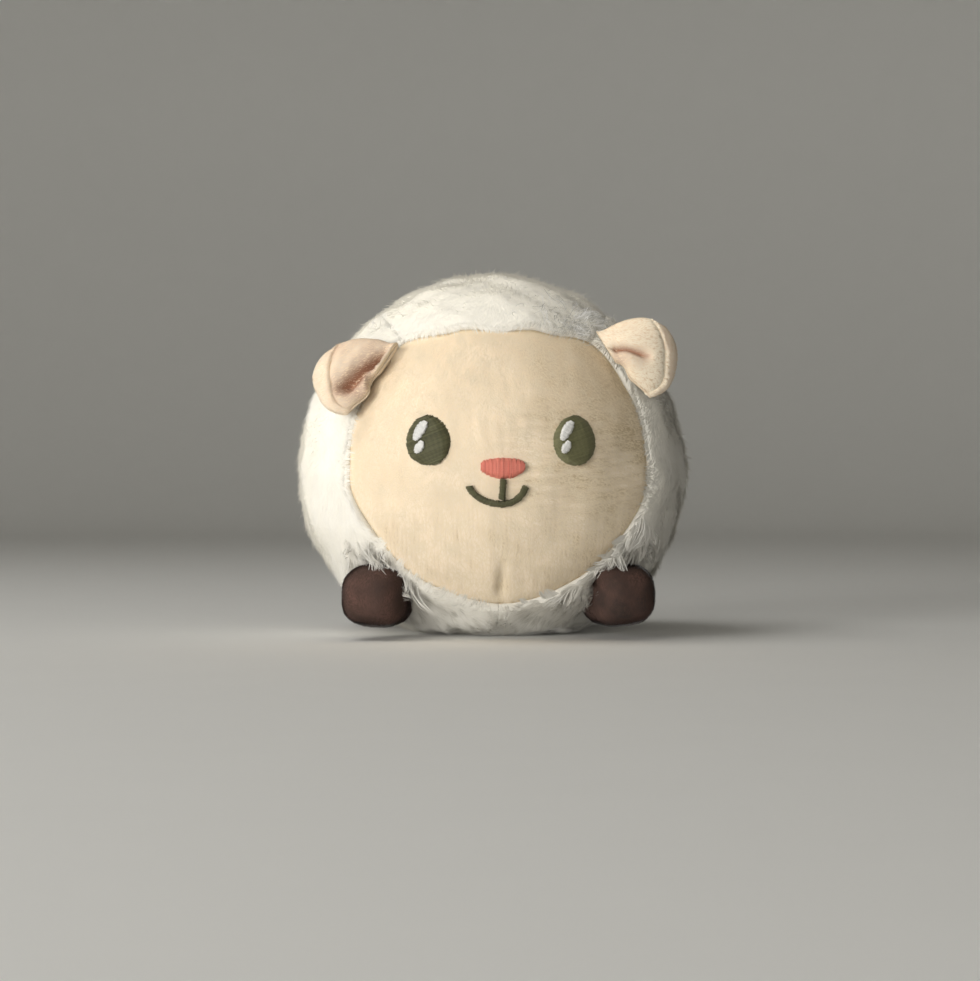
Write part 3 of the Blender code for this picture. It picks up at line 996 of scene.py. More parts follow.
@dataclass
class FleeceCover:
    """The white cover: crown, two sides and a round back, each cloth and its pile."""

    ball: Ball
    foot_places: Sequence[Array]
    proud: float = 0.0039
    edge_tuck: float = 0.0008
    edge_power: float = 9
    side_tuck: float = 0.4
    lumps: Ripples = ((0.00030, 0.018, 11), (0.00018, 0.008, 12))
    fringe: float = 0.07
    seam_cross: float = 0.035
    ragged_from: Ramp = Ramp(-84, 16)
    ragged_to: Ramp = Ramp(2, -25)
    off_chin: Ramp = Ramp(15, 30)
    chin_share: float = 0.35
    rim: Ramp = Ramp(0.75, 0.25)
    combed: Spot = (0, -0.5, -1.0)
    combed_ragged: Spot = (-1.1, -0.4, -0.1)
    wander: float = 24
    swirl: float = 0.022
    inward_pull: float = 2.2
    rim_pull: float = 3.0
    cross_pull: float = 2.0
    low: Ramp = Ramp(0.030, -0.020)
    foot_spread: float = 0.014
    clump_size: float = 0.012
    plain_pull: float = 0.10
    most_pull: float = 0.88
    guard_share: float = 0.05
    by_tuft: Effect = Effect(0.35, 0.0, 5)
    by_foot: Effect = Effect(0.6, 0.35, 12)
    by_rag: Effect = Effect(0.7, 0.55, 14)
    by_guard: Effect = Effect(0.0, 0.25, 14)
    length_noise: Ripples = ((0.08, 0.010, 23),)
    shade: Shade = Shade(0.88, 0.03, ((0.02, 0.007, 24), (0.03, 0.020, 25)))
    ragged_tone: float = 0.06
    mottle: Ripples = ((0.34, 0.0024, 26),)
    mottle_front: Ramp = Ramp(-0.016, -0.016)
    mottle_left: Ramp = Ramp(0.002, 0.014)
    mottle_upper: Ramp = Ramp(0.060, 0.020)
    coat: Coat = Coat(5.6, 0.0034, 0.00021, lean=(60, 87), segments=2, roll=10, scatter=13, clump_area=4)
    curls: Coat = Coat(
        2.4, 0.0054, 0.00024, lean=(56, 86), segments=7, roll=30, scatter=55, curl=0.0006, softness=0.55,
    )
    curl_place: Spot = (0.0280, -0.0370, 0.0900)
    curl_spread: float = 0.0100
    curl_dark: float = 0.65
    curl_dark_spread: float = 0.0120
    curl_way: Spot = (0.7, -0.5, -0.8)
    curl_wander: float = 50
    curl_swirl: float = 0.006
    curl_shade: Shade = Shade(0.62, 0.15, ((0.38, 0.0020, 194),))
    curl_pull: float = 0.70
    tufts: Coat = Coat(
        5.5, 0.0072, 0.00020, lean=(34, 74), segments=4, roll=25, scatter=14, clump_area=3.2, softness=0.5,
        casts_shadow=True,
    )
    left_tufts: TuftPatch = TuftPatch(0.30, 0.0060, 0.0145, way=(-0.8, -0.7, -1.0), seam_share=0.62)
    right_tufts: TuftPatch = TuftPatch(0.15, 0.0045, 0.0100, way=(0.15, -0.7, -1.0))
    tuft_stretch: Spot = (0.75, 1, 1.1)
    tuft_seam_from: Ramp = Ramp(-78, 14)
    tuft_seam_to: Ramp = Ramp(-8, -20)
    tuft_level: float = 0.010
    tuft_gain: float = 1.5
    tuft_cut: float = 0.25
    tuft_wander: float = 26
    tuft_swirl: float = 0.006
    tuft_shade: Shade = Shade(0.75, 0.16)
    tuft_uneven: float = 0.25
    tuft_ripple: float = 0.004

    def tuck(self, share: Array) -> Array:
        """How far a panel dips towards its edges."""
        return self.edge_tuck * np.abs(2 * share - 1) ** self.edge_power

    def shaped(self, polar: Array, turn: Array, top: Array, dip: Array) -> Array:
        """Places of a panel's points, with soft lumps where the filling shows."""
        flat = self.ball.point(polar, turn, np.zeros_like(polar))
        proud = self.proud - dip + ripples(flat, self.lumps)
        proud = -self.ball.backing + top * (self.ball.backing + proud)
        return self.ball.point(polar, turn, proud)

    def band_place(self, first: int, columns: int) -> Callable[[Array], Array]:
        """The bend of a panel that runs from the face seam to the back panel."""
        def place(units: Array) -> Array:
            """Places for points of a flat slab."""
            x, y, top = units.T
            turn = self.ball.column_turn(first + x * columns)
            front = self.ball.face_polar(turn) + self.ball.gap_angle
            polar = front + y * (self.ball.back_polar - self.ball.gap_angle - front)
            return self.shaped(polar, turn, top, np.maximum(self.side_tuck * self.tuck(x), self.tuck(y)))

        return place

    def back_place(self, units: Array) -> Array:
        """The bend of the back panel, for points of a round slab."""
        x, y, top = units.T
        share = np.hypot(x, y)
        polar = pi - share * (pi - self.ball.back_polar - self.ball.gap_angle)
        return self.shaped(polar, self.ball.disc_turn(x, y), top, self.tuck((1 + share) / 2))

    def seam(self, roots: Roots, panel: Panel) -> Seam:
        """The face seam as seen from each root; the back panel has none near it."""
        _, first, columns = panel.value
        if panel is Panel.BACK:
            return Seam(*np.zeros((4, len(roots.units))))
        turn = np.degrees(self.ball.column_turn(first + roots.units[:, 0] * columns))
        near = smooth_step(1 - roots.units[:, 1] / self.fringe)
        return Seam(near, turn, near * self.ragged_from(turn) * self.ragged_to(turn), self.rim(near))

    def brushing(self, roots: Roots, panel: Panel, seam: Seam) -> Array:
        """The way that the fleece is brushed at each root.

        Args:
            roots: The roots.
            panel: The panel that they are on.
            seam: The face seam as seen from them.

        Returns:
            A direction for each root.
        """
        nose = np.array([self.ball.shift[0], -self.ball.depth / 2, self.ball.waist])
        to_nose = unit(nose - roots.points)
        off_chin = self.off_chin(np.abs(seam.turn + 90))
        inward = seam.near * (self.chin_share + (1 - self.chin_share) * off_chin) * (1 - seam.ragged)
        way = np.array(self.combed) + self.inward_pull * inward[:, None] * to_nose
        way = way + seam.ragged[:, None] * np.array(self.combed_ragged)
        way = way + self.rim_pull * (seam.rim * seam.ragged)[:, None] * to_nose
        if panel is Panel.BACK:
            return way
        x, turn = roots.units[:, 0], np.radians(seam.turn)
        aside = smooth_step(1 - np.minimum(x, 1 - x) / self.seam_cross) * np.sign(x - 0.5)
        around = np.stack([-np.sin(turn), np.zeros(len(x)), np.cos(turn)], axis=-1)
        return way + self.cross_pull * aside[:, None] * around

    def growth(self, roots: Roots, panel: Panel, seed: int) -> Growth:
        """How the fleece lies, clumps and stands at each root.

        Args:
            roots: The roots.
            panel: The panel that they are on.
            seed: Number of the draw.

        Returns:
            How it grows.
        """
        points = roots.points
        seam = self.seam(roots, panel)
        lay = roots.comb(self.brushing(roots, panel, seam), self.wander, self.swirl, 21)
        near_foot = np.max([
            bell(np.linalg.norm(points - foot, axis=1), self.foot_spread) for foot in self.foot_places
        ], axis=0)
        low = self.low(points[:, 2])
        tuft = low * (0.5 + 0.5 * np.tanh(waves(points, self.clump_size, 22)))
        rng = np.random.default_rng(seed)
        guard = rng.random(len(points)) < self.guard_share
        effects = (self.by_tuft, self.by_foot, self.by_rag, self.by_guard)
        gains = np.array([(effect.pull, effect.length, effect.lift) for effect in effects])
        pull, length, lift = gains.T @ np.stack([tuft, near_foot, seam.ragged, guard])
        pull, length = pull + self.plain_pull, length + 1 + ripples(points, self.length_noise)
        x, y, z = points.T
        coarse = np.maximum(self.mottle_left(x) * self.mottle_upper(z), low) * self.mottle_front(y)
        off = np.linalg.norm(points - np.array(self.curl_place), axis=1)
        marks = coarse * ripples(points, self.mottle) + self.ragged_tone * seam.ragged
        marks = marks - self.curl_dark * bell(off, self.curl_dark_spread)
        return Growth(
            lay, self.shade.draw(points, rng, marks), length, np.clip(pull, 0, self.most_pull),
            lift * (1 - seam.rim), self.ball.facing(points),
        )

    def build_tufts(self, panel: Panel, cloth: Cloth, fleece: Fabric, seed: int) -> None:
        """Grows the ragged tufts of a side.

        Args:
            panel: The side's panel.
            cloth: The panel's cloth.
            fleece: What they are made of.
            seed: Number of the draw.
        """
        side = Side[panel.name]
        patch = self.left_tufts if side is Side.LEFT else self.right_tufts
        roots = Roots.on(cloth, self.tufts.density, seed)
        rng = np.random.default_rng(seed + 1)
        seam = self.seam(roots, panel)
        foot = next(spot for spot in self.foot_places if spot[1] < 0 and side.value * spot[0] > 0)
        centre = foot + np.array([-patch.inward * foot[0], 0, patch.rise])
        off = np.linalg.norm((roots.points - centre) * np.array(self.tuft_stretch), axis=1)
        along = patch.seam_share * seam.near * self.tuft_seam_from(seam.turn) * self.tuft_seam_to(seam.turn)
        share = np.maximum(bell(off, patch.spread), along)
        chosen = rng.random(len(share)) < self.tuft_gain * share - self.tuft_cut
        roots = roots.only(chosen & (roots.points[:, 2] > self.tuft_level))
        lay = roots.comb(np.array(patch.way), self.tuft_wander, self.tuft_swirl, seed + 2)
        tone = self.tuft_shade.draw(roots.points, rng)
        length = 1 + self.tuft_uneven * waves(roots.points, self.tuft_ripple, seed + 3)
        growth = Growth(lay, tone, length, self.most_pull)
        fleece.grow(f"{side.label}_side_tufts", self.tufts, roots, growth, seed + 4)

    def build_curls(self, cloth: Cloth) -> None:
        """Grows the glossy curls on the crown by the left ear."""
        roots = Roots.on(cloth, self.curls.density, 190)
        off = np.linalg.norm(roots.points - np.array(self.curl_place), axis=1)
        rng = np.random.default_rng(191)
        roots = roots.only(rng.random(len(off)) < bell(off, self.curl_spread))
        lay = roots.comb(np.array(self.curl_way), self.curl_wander, self.curl_swirl, 192)
        tone = self.curl_shade.draw(roots.points, rng)
        pile = self.curls.grow("crown_curls", roots, Growth(lay, tone, pull=self.curl_pull), 193)
        fit_out(pile, CURL_PILE.material())

    def build(self, fleece: Fabric) -> None:
        """Builds the four panels of this fleece."""
        for order, panel in enumerate(Panel):
            node, first, columns = panel.value
            name = node.removeprefix("fleece_")
            if panel is Panel.BACK:
                slab, place = round_slab(72, 18), self.back_place
            else:
                slab, place = flat_slab(5 * columns, 44), self.band_place(first, columns)
            cloth = fleece.lay(name, slab, place, on_top, node)
            roots = Roots.on(cloth, self.coat.density, 100 + order)
            growth = self.growth(roots, panel, 130 + order)
            fleece.grow(f"{name}_pile", self.coat, roots, growth, 160 + order)
            if panel is Panel.CROWN:
                self.build_curls(cloth)
            elif panel is not Panel.BACK:
                self.build_tufts(panel, cloth, fleece, 200 + 10 * order)


@dataclass(frozen=True)
class SatinPatch:
    """A filled patch of satin stitch on the face.

    The outline gives the place across and the level of each point of the unit circle.
    """

    node: str
    outline: Callable[[Array, Array], tuple[Array, Array]]
    low: float
    height: float
    slant: float
    pitch: float = 0.00034
    ragged: float = 0.00022
    dome: float = 0.5
    dome_power: float = 2.5
    tone_spread: float = 0.09
    tone: float = 0.5

    def rim(self, count: int = 240) -> Array:
        """Points round the outline."""
        angle = np.linspace(0, 2 * pi, count, endpoint=False)
        return np.stack(self.outline(np.cos(angle), np.sin(angle)), axis=-1)

    def chords(self) -> tuple[Array, Array, Array]:
        """Start, end and dome share of each thread."""
        rim = self.rim()
        along = np.array([cos(radians(self.slant)), sin(radians(self.slant))])
        aside = np.array([-along[1], along[0]])
        middle = rim.mean(axis=0)
        flat = np.stack([(rim - middle) @ along, (rim - middle) @ aside], axis=-1)
        low, high = flat[:, 1].min(), flat[:, 1].max()
        rows = np.arange(low + self.pitch * 0.4, high - self.pitch * 0.2, self.pitch)
        starts, ends, shares = [], [], []
        following = np.roll(flat, -1, axis=0)
        for row in rows:
            crossing = (flat[:, 1] - row) * (following[:, 1] - row) <= 0
            part = (row - flat[crossing, 1]) / (following[crossing, 1] - flat[crossing, 1] + 1e-12)
            reach = flat[crossing, 0] + part * (following[crossing, 0] - flat[crossing, 0])
            starts.append(middle + reach.min() * along + row * aside)
            ends.append(middle + reach.max() * along + row * aside)
            shares.append(abs(2 * (row - low) / (high - low) - 1))
        return np.array(starts), np.array(ends), 1 - self.dome * np.array(shares) ** self.dome_power

    def covers(self, across: Array, level: Array, margin: float) -> Array:
        """True where a place of the face lies under the patch, drawn in by a margin."""
        rim = self.rim(72)
        middle = rim.mean(axis=0)
        spokes, off = rim - middle, np.stack([across, level], axis=-1) - middle
        angles = np.arctan2(spokes[:, 1], spokes[:, 0])
        order = np.argsort(angles)
        sizes = np.hypot(spokes[:, 0], spokes[:, 1])[order]
        reach = np.interp(np.arctan2(off[:, 1], off[:, 0]), angles[order], sizes, period=2 * pi)
        return np.hypot(off[:, 0], off[:, 1]) < reach - margin


@dataclass(frozen=True)
class SatinLine:
    """A line of satin stitch on the face, sewn across its route."""

    node: str
    route: Callable[[Array], tuple[Array, Array]]
    low: float
    height: float
    width: float = 0.0020
    fullness: float = 0.46
    slant: float = 14
    pitch: float = 0.00036
    ragged: float = 0.00020
    tone_spread: float = 0.07
    tone: float = 0.25

    def chords(self) -> tuple[Array, Array, Array]:
        """Start, end and dome share of each thread."""
        fine = np.stack(self.route(np.linspace(0, 1, 400)), axis=-1)
        run = np.concatenate([[0], np.cumsum(np.linalg.norm(np.diff(fine, axis=0), axis=1))])
        marks = np.arange(self.pitch / 2, run[-1], self.pitch)
        middle = np.stack([np.interp(marks, run, fine[:, axis]) for axis in range(2)], axis=-1)
        ahead = unit(np.gradient(middle, axis=0))
        turned = radians(90 - self.slant)
        turn = np.array([[cos(turned), sin(turned)], [-sin(turned), cos(turned)]])
        half = ahead @ turn * self.width * self.fullness
        return middle - half, middle + half, np.ones(len(marks))

    def covers(self, across: Array, level: Array, margin: float) -> Array:
        """True where a place of the face lies under the line, drawn in by a margin."""
        fine = np.stack(self.route(np.linspace(0, 1, 60)), axis=-1)
        off = np.stack([across, level], axis=-1)[:, None] - fine[None]
        return np.hypot(off[:, :, 0], off[:, :, 1]).min(axis=1) < self.width / 2 - margin


@dataclass
class Embroidery:
    """Eyes with glints, nose, the line under it and the smile."""

    ball: Ball
    low: float = 0.0016
    height: float = 0.0015
    eye_width: float = 0.0120
    eye_height: float = 0.0140
    eye_spacing: float = 0.0406
    eye_level: float = 0.0561
    eye_taper: float = 0.10
    eye_slant: float = 22
    # Painted light: the left eye's thread is lighter than the right's, though both are one dark thread.
    eye_tones: tuple[float, float] = (0.75, 0.30)
    glint_height: float = 0.0008
    glint_lean: float = 30
    glints: tuple[tuple[str, float, float, float, float], ...] = (
        ("upper", -0.19, 0.19, 0.225, 0.45), ("lower", -0.21, -0.14, 0.19, 0.27),
    )
    nose_width: float = 0.0122
    nose_height: float = 0.0058
    nose_level: float = 0.0482
    nose_flare: float = 0.30
    line_width: float = 0.0020
    line_height: float = 0.85
    philtrum_ends: tuple[float, float] = (0.0002, -0.0002)
    smile_level: float = 0.0434
    smile_depth: float = 0.0050
    smile_reach: tuple[float, float] = (0.0092, 0.0064)
    smile_sweep: float = 78
    thread_steps: int = 8
    thread_sides: int = 4
    thread_wrap: float = 1.15
    thread_fullness: float = 0.62
    thread_spread: float = 0.10
    edge_height: float = 0.35
    end_sink: float = 0.6
    unevenness: float = 0.00005

    def eye(self, side: Side) -> SatinPatch:
        """The dark patch of one eye."""
        middle = side.value * self.eye_spacing / 2

        def egg(x: Array, y: Array) -> tuple[Array, Array]:
            """The eye's outline, narrower at the top."""
            return (
                middle + x * self.eye_width / 2 * (1 - self.eye_taper * y),
                self.eye_level + y * self.eye_height / 2,
            )

        # Painted light: the left eye gets the lighter tone.
        tone = self.eye_tones[side is Side.RIGHT]
        return SatinPatch(f"eye_{side.label}", egg, self.low, self.height, self.eye_slant, tone=tone)

    def glint(self, side: Side, spot: tuple[str, float, float, float, float]) -> SatinPatch:
        """One white glint of an eye."""
        label, across, up, width, height = spot
        lean = radians(self.glint_lean)
        middle = side.value * self.eye_spacing / 2 + across * self.eye_width
        middle_level = self.eye_level + up * self.eye_height

        def drop(x: Array, y: Array) -> tuple[Array, Array]:
            """The glint's leaning outline."""
            wide, tall = x * width * self.eye_width / 2, y * height * self.eye_height / 2
            turned = wide * cos(lean) + tall * sin(lean), tall * cos(lean) - wide * sin(lean)
            return middle + turned[0], middle_level + turned[1]

        node = f"eye_{side.label}_glint_{label}"
        low = self.low + self.height
        return SatinPatch(node, drop, low, self.glint_height, -self.glint_lean, dome=0.3)

    def nose(self) -> SatinPatch:
        """The coral nose, flat above and bowed below."""
        def bowl(x: Array, y: Array) -> tuple[Array, Array]:
            """The nose's outline."""
            flare = 1 - self.nose_flare / 2 + self.nose_flare * (y + x * x) / 2
            top = np.sign(y) * np.abs(y) ** np.where(y > 0, 0.55, 0.9)
            return x * flare * self.nose_width / 2, self.nose_level + top * self.nose_height / 2

        return SatinPatch("nose", bowl, self.low, self.height + 0.0002, 90, pitch=0.00036, tone_spread=0.2)

    def philtrum(self) -> SatinLine:
        """The line from the nose to the smile."""
        top = self.nose_level - self.nose_height / 2
        bottom = self.smile_level - self.smile_depth + self.line_width / 2

        def route(share: Array) -> tuple[Array, Array]:
            """The line's middle."""
            start, end = self.philtrum_ends
            return start + (end - start) * share, top + share * (bottom - top)

        return SatinLine("philtrum", route, self.low, self.height * self.line_height)

    def smile(self) -> SatinLine:
        """The smile, longer on the toy's right."""
        widest = radians(self.smile_sweep)

        def route(share: Array) -> tuple[Array, Array]:
            """The smile's middle, from the toy's right to its left."""
            sweep = widest * (2 * share - 1)
            reach = np.where(sweep > 0, self.smile_reach[1], self.smile_reach[0])
            lift = (1 - np.cos(sweep)) / (1 - cos(widest))
            level = self.smile_level - self.smile_depth + self.smile_depth * lift
            return reach * np.sin(sweep) / sin(widest), level

        return SatinLine("smile", route, self.low, self.height * self.line_height)

    def on_cloth(self) -> list[SatinPatch | SatinLine]:
        """What is sewn straight onto the face."""
        return [self.eye(Side.LEFT), self.eye(Side.RIGHT), self.nose(), self.philtrum(), self.smile()]

    def covered(self, across: Array, level: Array, margin: float) -> Array:
        """True where stitches hide the face's cloth."""
        return np.any([part.covers(across, level, margin) for part in self.on_cloth()], axis=0)

    def sew(self, part: SatinPatch | SatinLine, look: bpy.types.Material, seed: int) -> None:
        """Lays the threads of one patch or line side by side.

        Args:
            part: What is sewn.
            look: The threads' material.
            seed: Number of the draw.
        """
        starts, ends, dome = part.chords()
        rng = np.random.default_rng(seed)
        count = len(starts)
        ahead = unit(ends - starts)
        starts = starts - ahead * rng.uniform(-0.3, 1, (count, 1)) * part.ragged
        ends = ends + ahead * rng.uniform(-0.3, 1, (count, 1)) * part.ragged
        template = bmesh.new()
        middle = Matrix.Translation((0.5, 0.5, 0))
        bmesh.ops.create_grid(
            template, x_segments=self.thread_sides, y_segments=self.thread_steps, size=0.5, matrix=middle
        )
        template.verts.index_update()
        across, along = np.array([vert.co[:2] for vert in template.verts]).T
        turned = pi * (across - 0.5) * self.thread_wrap
        thick = part.pitch * self.thread_fullness * (1 + self.thread_spread * rng.normal(size=(count, 1)))
        arch = 1 - np.abs(2 * along - 1) ** 6
        domed = self.edge_height + (1 - self.edge_height) * dome[:, None]
        lift = part.low + part.height * domed * arch + thick * np.cos(turned)
        lift = lift - part.pitch * self.end_sink * (1 - arch)
        lift = lift + self.unevenness * rng.normal(size=(count, 1))
        aside = np.stack([-ahead[:, 1], ahead[:, 0]], axis=-1)
        flat = starts[:, None] + (ends - starts)[:, None] * along[None, :, None]
        flat = flat + aside[:, None] * (thick * np.sin(turned))[:, :, None]
        places = self.ball.front_point(flat[:, :, 0], flat[:, :, 1], lift)
        tone = np.clip(part.tone + part.tone_spread * rng.normal(size=count), 0, 1)
        charts = tone_charts(tone, across - 0.5, along)
        piece = repeat_shape(f"{part.node}_stitch", template, places, charts)
        fit_out(piece, look, node=part.node)

    def build(self) -> None:
        """Sews everything on the face."""
        dark, coral, white = (finish.material() for finish in (DARK_THREAD, CORAL_THREAD, WHITE_THREAD))
        for order, part in enumerate(self.on_cloth()):
            look, slot = (coral, "coral_thread") if part.node == "nose" else (dark, "dark_thread")
            self.sew(part, look, 300 + order)
        for side in Side:
            for order, spot in enumerate(self.glints):
                self.sew(self.glint(side, spot), white, 320 + order)


@dataclass
class FacePanel:
    """The cream face: cloth with its sewn dart, and a short brushed pile."""

    ball: Ball
    embroidery: Embroidery
    proud: float = 0.0016
    dart_depth: float = 0.0012
    dart_half_width: float = 0.0014
    dart_shift: float = 0.0004
    dart_open: Ramp = Ramp(0.47, 0.36)
    dart_close: Ramp = Ramp(0.84, 0.14)
    dart_end: float = 0.9
    lumps: Ripples = ((0.00014, 0.018, 41),)
    wrinkles: Ripples = ((0.00004, 0.008, 42),)
    wrinkle_stretch: Spot = (2.2, 1, 0.6)
    edge: Ramp = Ramp(0.95, 0.05)
    edge_tuck: float = 0.0002
    low: Ramp = Ramp(0.042, -0.012)
    aside_from: Ramp = Ramp(-0.006, 0.016)
    aside_level: float = 0.050
    aside_spread: float = 0.016
    combed_down: Spot = (0.05, 0, -1.0)
    combed_aside: Spot = (2.2, 0, 0.85)
    wander: float = 14
    swirl: float = 0.015
    plain_pull: float = 0.25
    low_pull: float = 0.25
    aside_pull: float = 0.30
    length_noise: Ripples = ((0.12, 0.006, 57),)
    # Painted light: the lower face is lightened.
    low_tone: float = 0.05
    # Painted shade: the face is darkened high on the toy's left, the side away from the lamps.
    olive: float = 0.26
    olive_side: Ramp = Ramp(0.001, 0.010)
    olive_level: Ramp = Ramp(0.046, 0.010)
    side_shadow: float = 0.26
    shaded_side: Ramp = Ramp(0.002, 0.028)
    # Painted light: the lower face on the toy's right is lightened.
    blush: float = 0.18
    blush_level: Ramp = Ramp(0.030, -0.016)
    blush_side: Ramp = Ramp(0.012, -0.020)
    streak_width: float = 0.0016
    low_streaks: float = 0.17
    low_stretch: Spot = (1, 0.3, 0.14)
    aside_streaks: float = 0.26
    aside_stretch: Spot = (0.12, 0.3, 1)
    dart_shadow: float = 0.42
    dart_level: Ramp = Ramp(0.030, -0.014)
    dart_place: float = 0.0006
    dart_spread: float = 0.0006
    shade: Shade = Shade(0.82, 0.02, ((0.05, 0.005, 55), (0.07, 0.018, 56)))
    stitch_margin: float = 0.0002
    coat: Coat = Coat(
        10.2, 0.0010, 0.00011, lean=(60, 86), segments=2, roll=10, scatter=7, clump_area=1.0, sink=0.0001
    )

    def place(self, units: Array) -> Array:
        """The bend of the face, for points of a round slab."""
        x, y, top = units.T
        share = np.hypot(x, y)
        turn = self.ball.disc_turn(x, y)
        polar = share * (self.ball.face_polar(turn) - self.ball.gap_angle)
        flat = self.ball.point(polar, turn, np.zeros_like(polar))
        across = flat[:, 0] - self.ball.shift[0]
        opening = self.dart_open(share) * (1 - self.dart_end * self.dart_close(share)) * (np.sin(turn) < 0)
        dip = self.dart_depth * opening * bell(across - self.dart_shift, self.dart_half_width)
        swell = ripples(flat, self.lumps) + ripples(flat * np.array(self.wrinkle_stretch), self.wrinkles)
        swell = swell - self.edge_tuck * self.edge(share)
        proud = -self.ball.backing + top * (self.ball.backing + self.proud + swell - dip)
        return self.ball.point(polar, turn, proud)

    def growth(self, roots: Roots) -> Growth:
        """How the face's pile lies: brushed aside at the eyes' level and down below."""
        points = roots.points - np.array([*self.ball.shift, 0])
        across, level = points[:, 0], points[:, 2]
        aside = self.aside_from(across) * bell(level - self.aside_level, self.aside_spread)
        way = np.array(self.combed_down) + aside[:, None] * np.array(self.combed_aside)
        lay = roots.comb(way, self.wander, self.swirl, 51)
        low, opening = self.low(level), self.dart_level(level)
        # Painted light on the lower face; painted shade high on the toy's left and over that whole side.
        marks = self.low_tone * low - self.olive * self.olive_side(across) * self.olive_level(level)
        marks = marks - self.side_shadow * self.shaded_side(across)
        # Painted light on the lower face, on the toy's right.
        marks = marks + self.blush * self.blush_level(level) * self.blush_side(across)
        for strength, stretch, seed in (
            (self.low_streaks * low, self.low_stretch, 53),
            (self.aside_streaks * aside, self.aside_stretch, 54),
        ):
            marks = marks + strength * waves(points * np.array(stretch), self.streak_width, seed)
        fold = bell(across - self.dart_place, self.dart_place + self.dart_spread * opening)
        tone = self.shade.draw(points, np.random.default_rng(52), marks - self.dart_shadow * opening * fold)
        pull = self.plain_pull + self.low_pull * low + self.aside_pull * aside
        return Growth(lay, tone, 1 + ripples(points, self.length_noise), pull)

    def build(self, velour: Fabric) -> None:
        """Builds the cloth and its pile of this velour."""
        slab = round_slab(160, 36)
        cloth = velour.lay("face", slab, self.place, on_top, "face_panel")
        roots = Roots.on(cloth, self.coat.density, 60)
        across = roots.points[:, 0] - self.ball.shift[0]
        roots = roots.only(~self.embroidery.covered(across, roots.points[:, 2], self.stitch_margin))
        velour.grow("face_pile", self.coat, roots, self.growth(roots), 61)


@dataclass(frozen=True)
class Crease:
    """The pinched fold of an ear: where it lies at the root and tip, its sizes, and the painted shade in the
    fold and in the hollow by the root.
    """

    root: float
    tip: float
    bow: float
    depth: float
    upper_width: float
    lower_width: float
    reach: float
    fade: float
    # Painted shade in the fold, and in the hollow by the lower root.
    darkening: float
    hollow: float
    folds: float
    sharpness: float = 0.65
    soft_spread: float = 2.4
    start: Ramp = Ramp(0.0, 0.12)

    def share(self, across: Array, y: Array) -> Array:
        """How deep the fold is at each place, 0 to 1."""
        bow = self.bow * np.sin(pi * y / (self.reach + self.fade))
        off = across - self.root - (self.tip - self.root) * y + bow
        width = np.where(off < 0, self.upper_width, self.lower_width)
        soft = bell(off, self.soft_spread * width)
        depth = self.sharpness * bell(off, width) + (1 - self.sharpness) * soft
        return depth * self.start(y) * (1 - Ramp(self.reach, self.fade)(y))


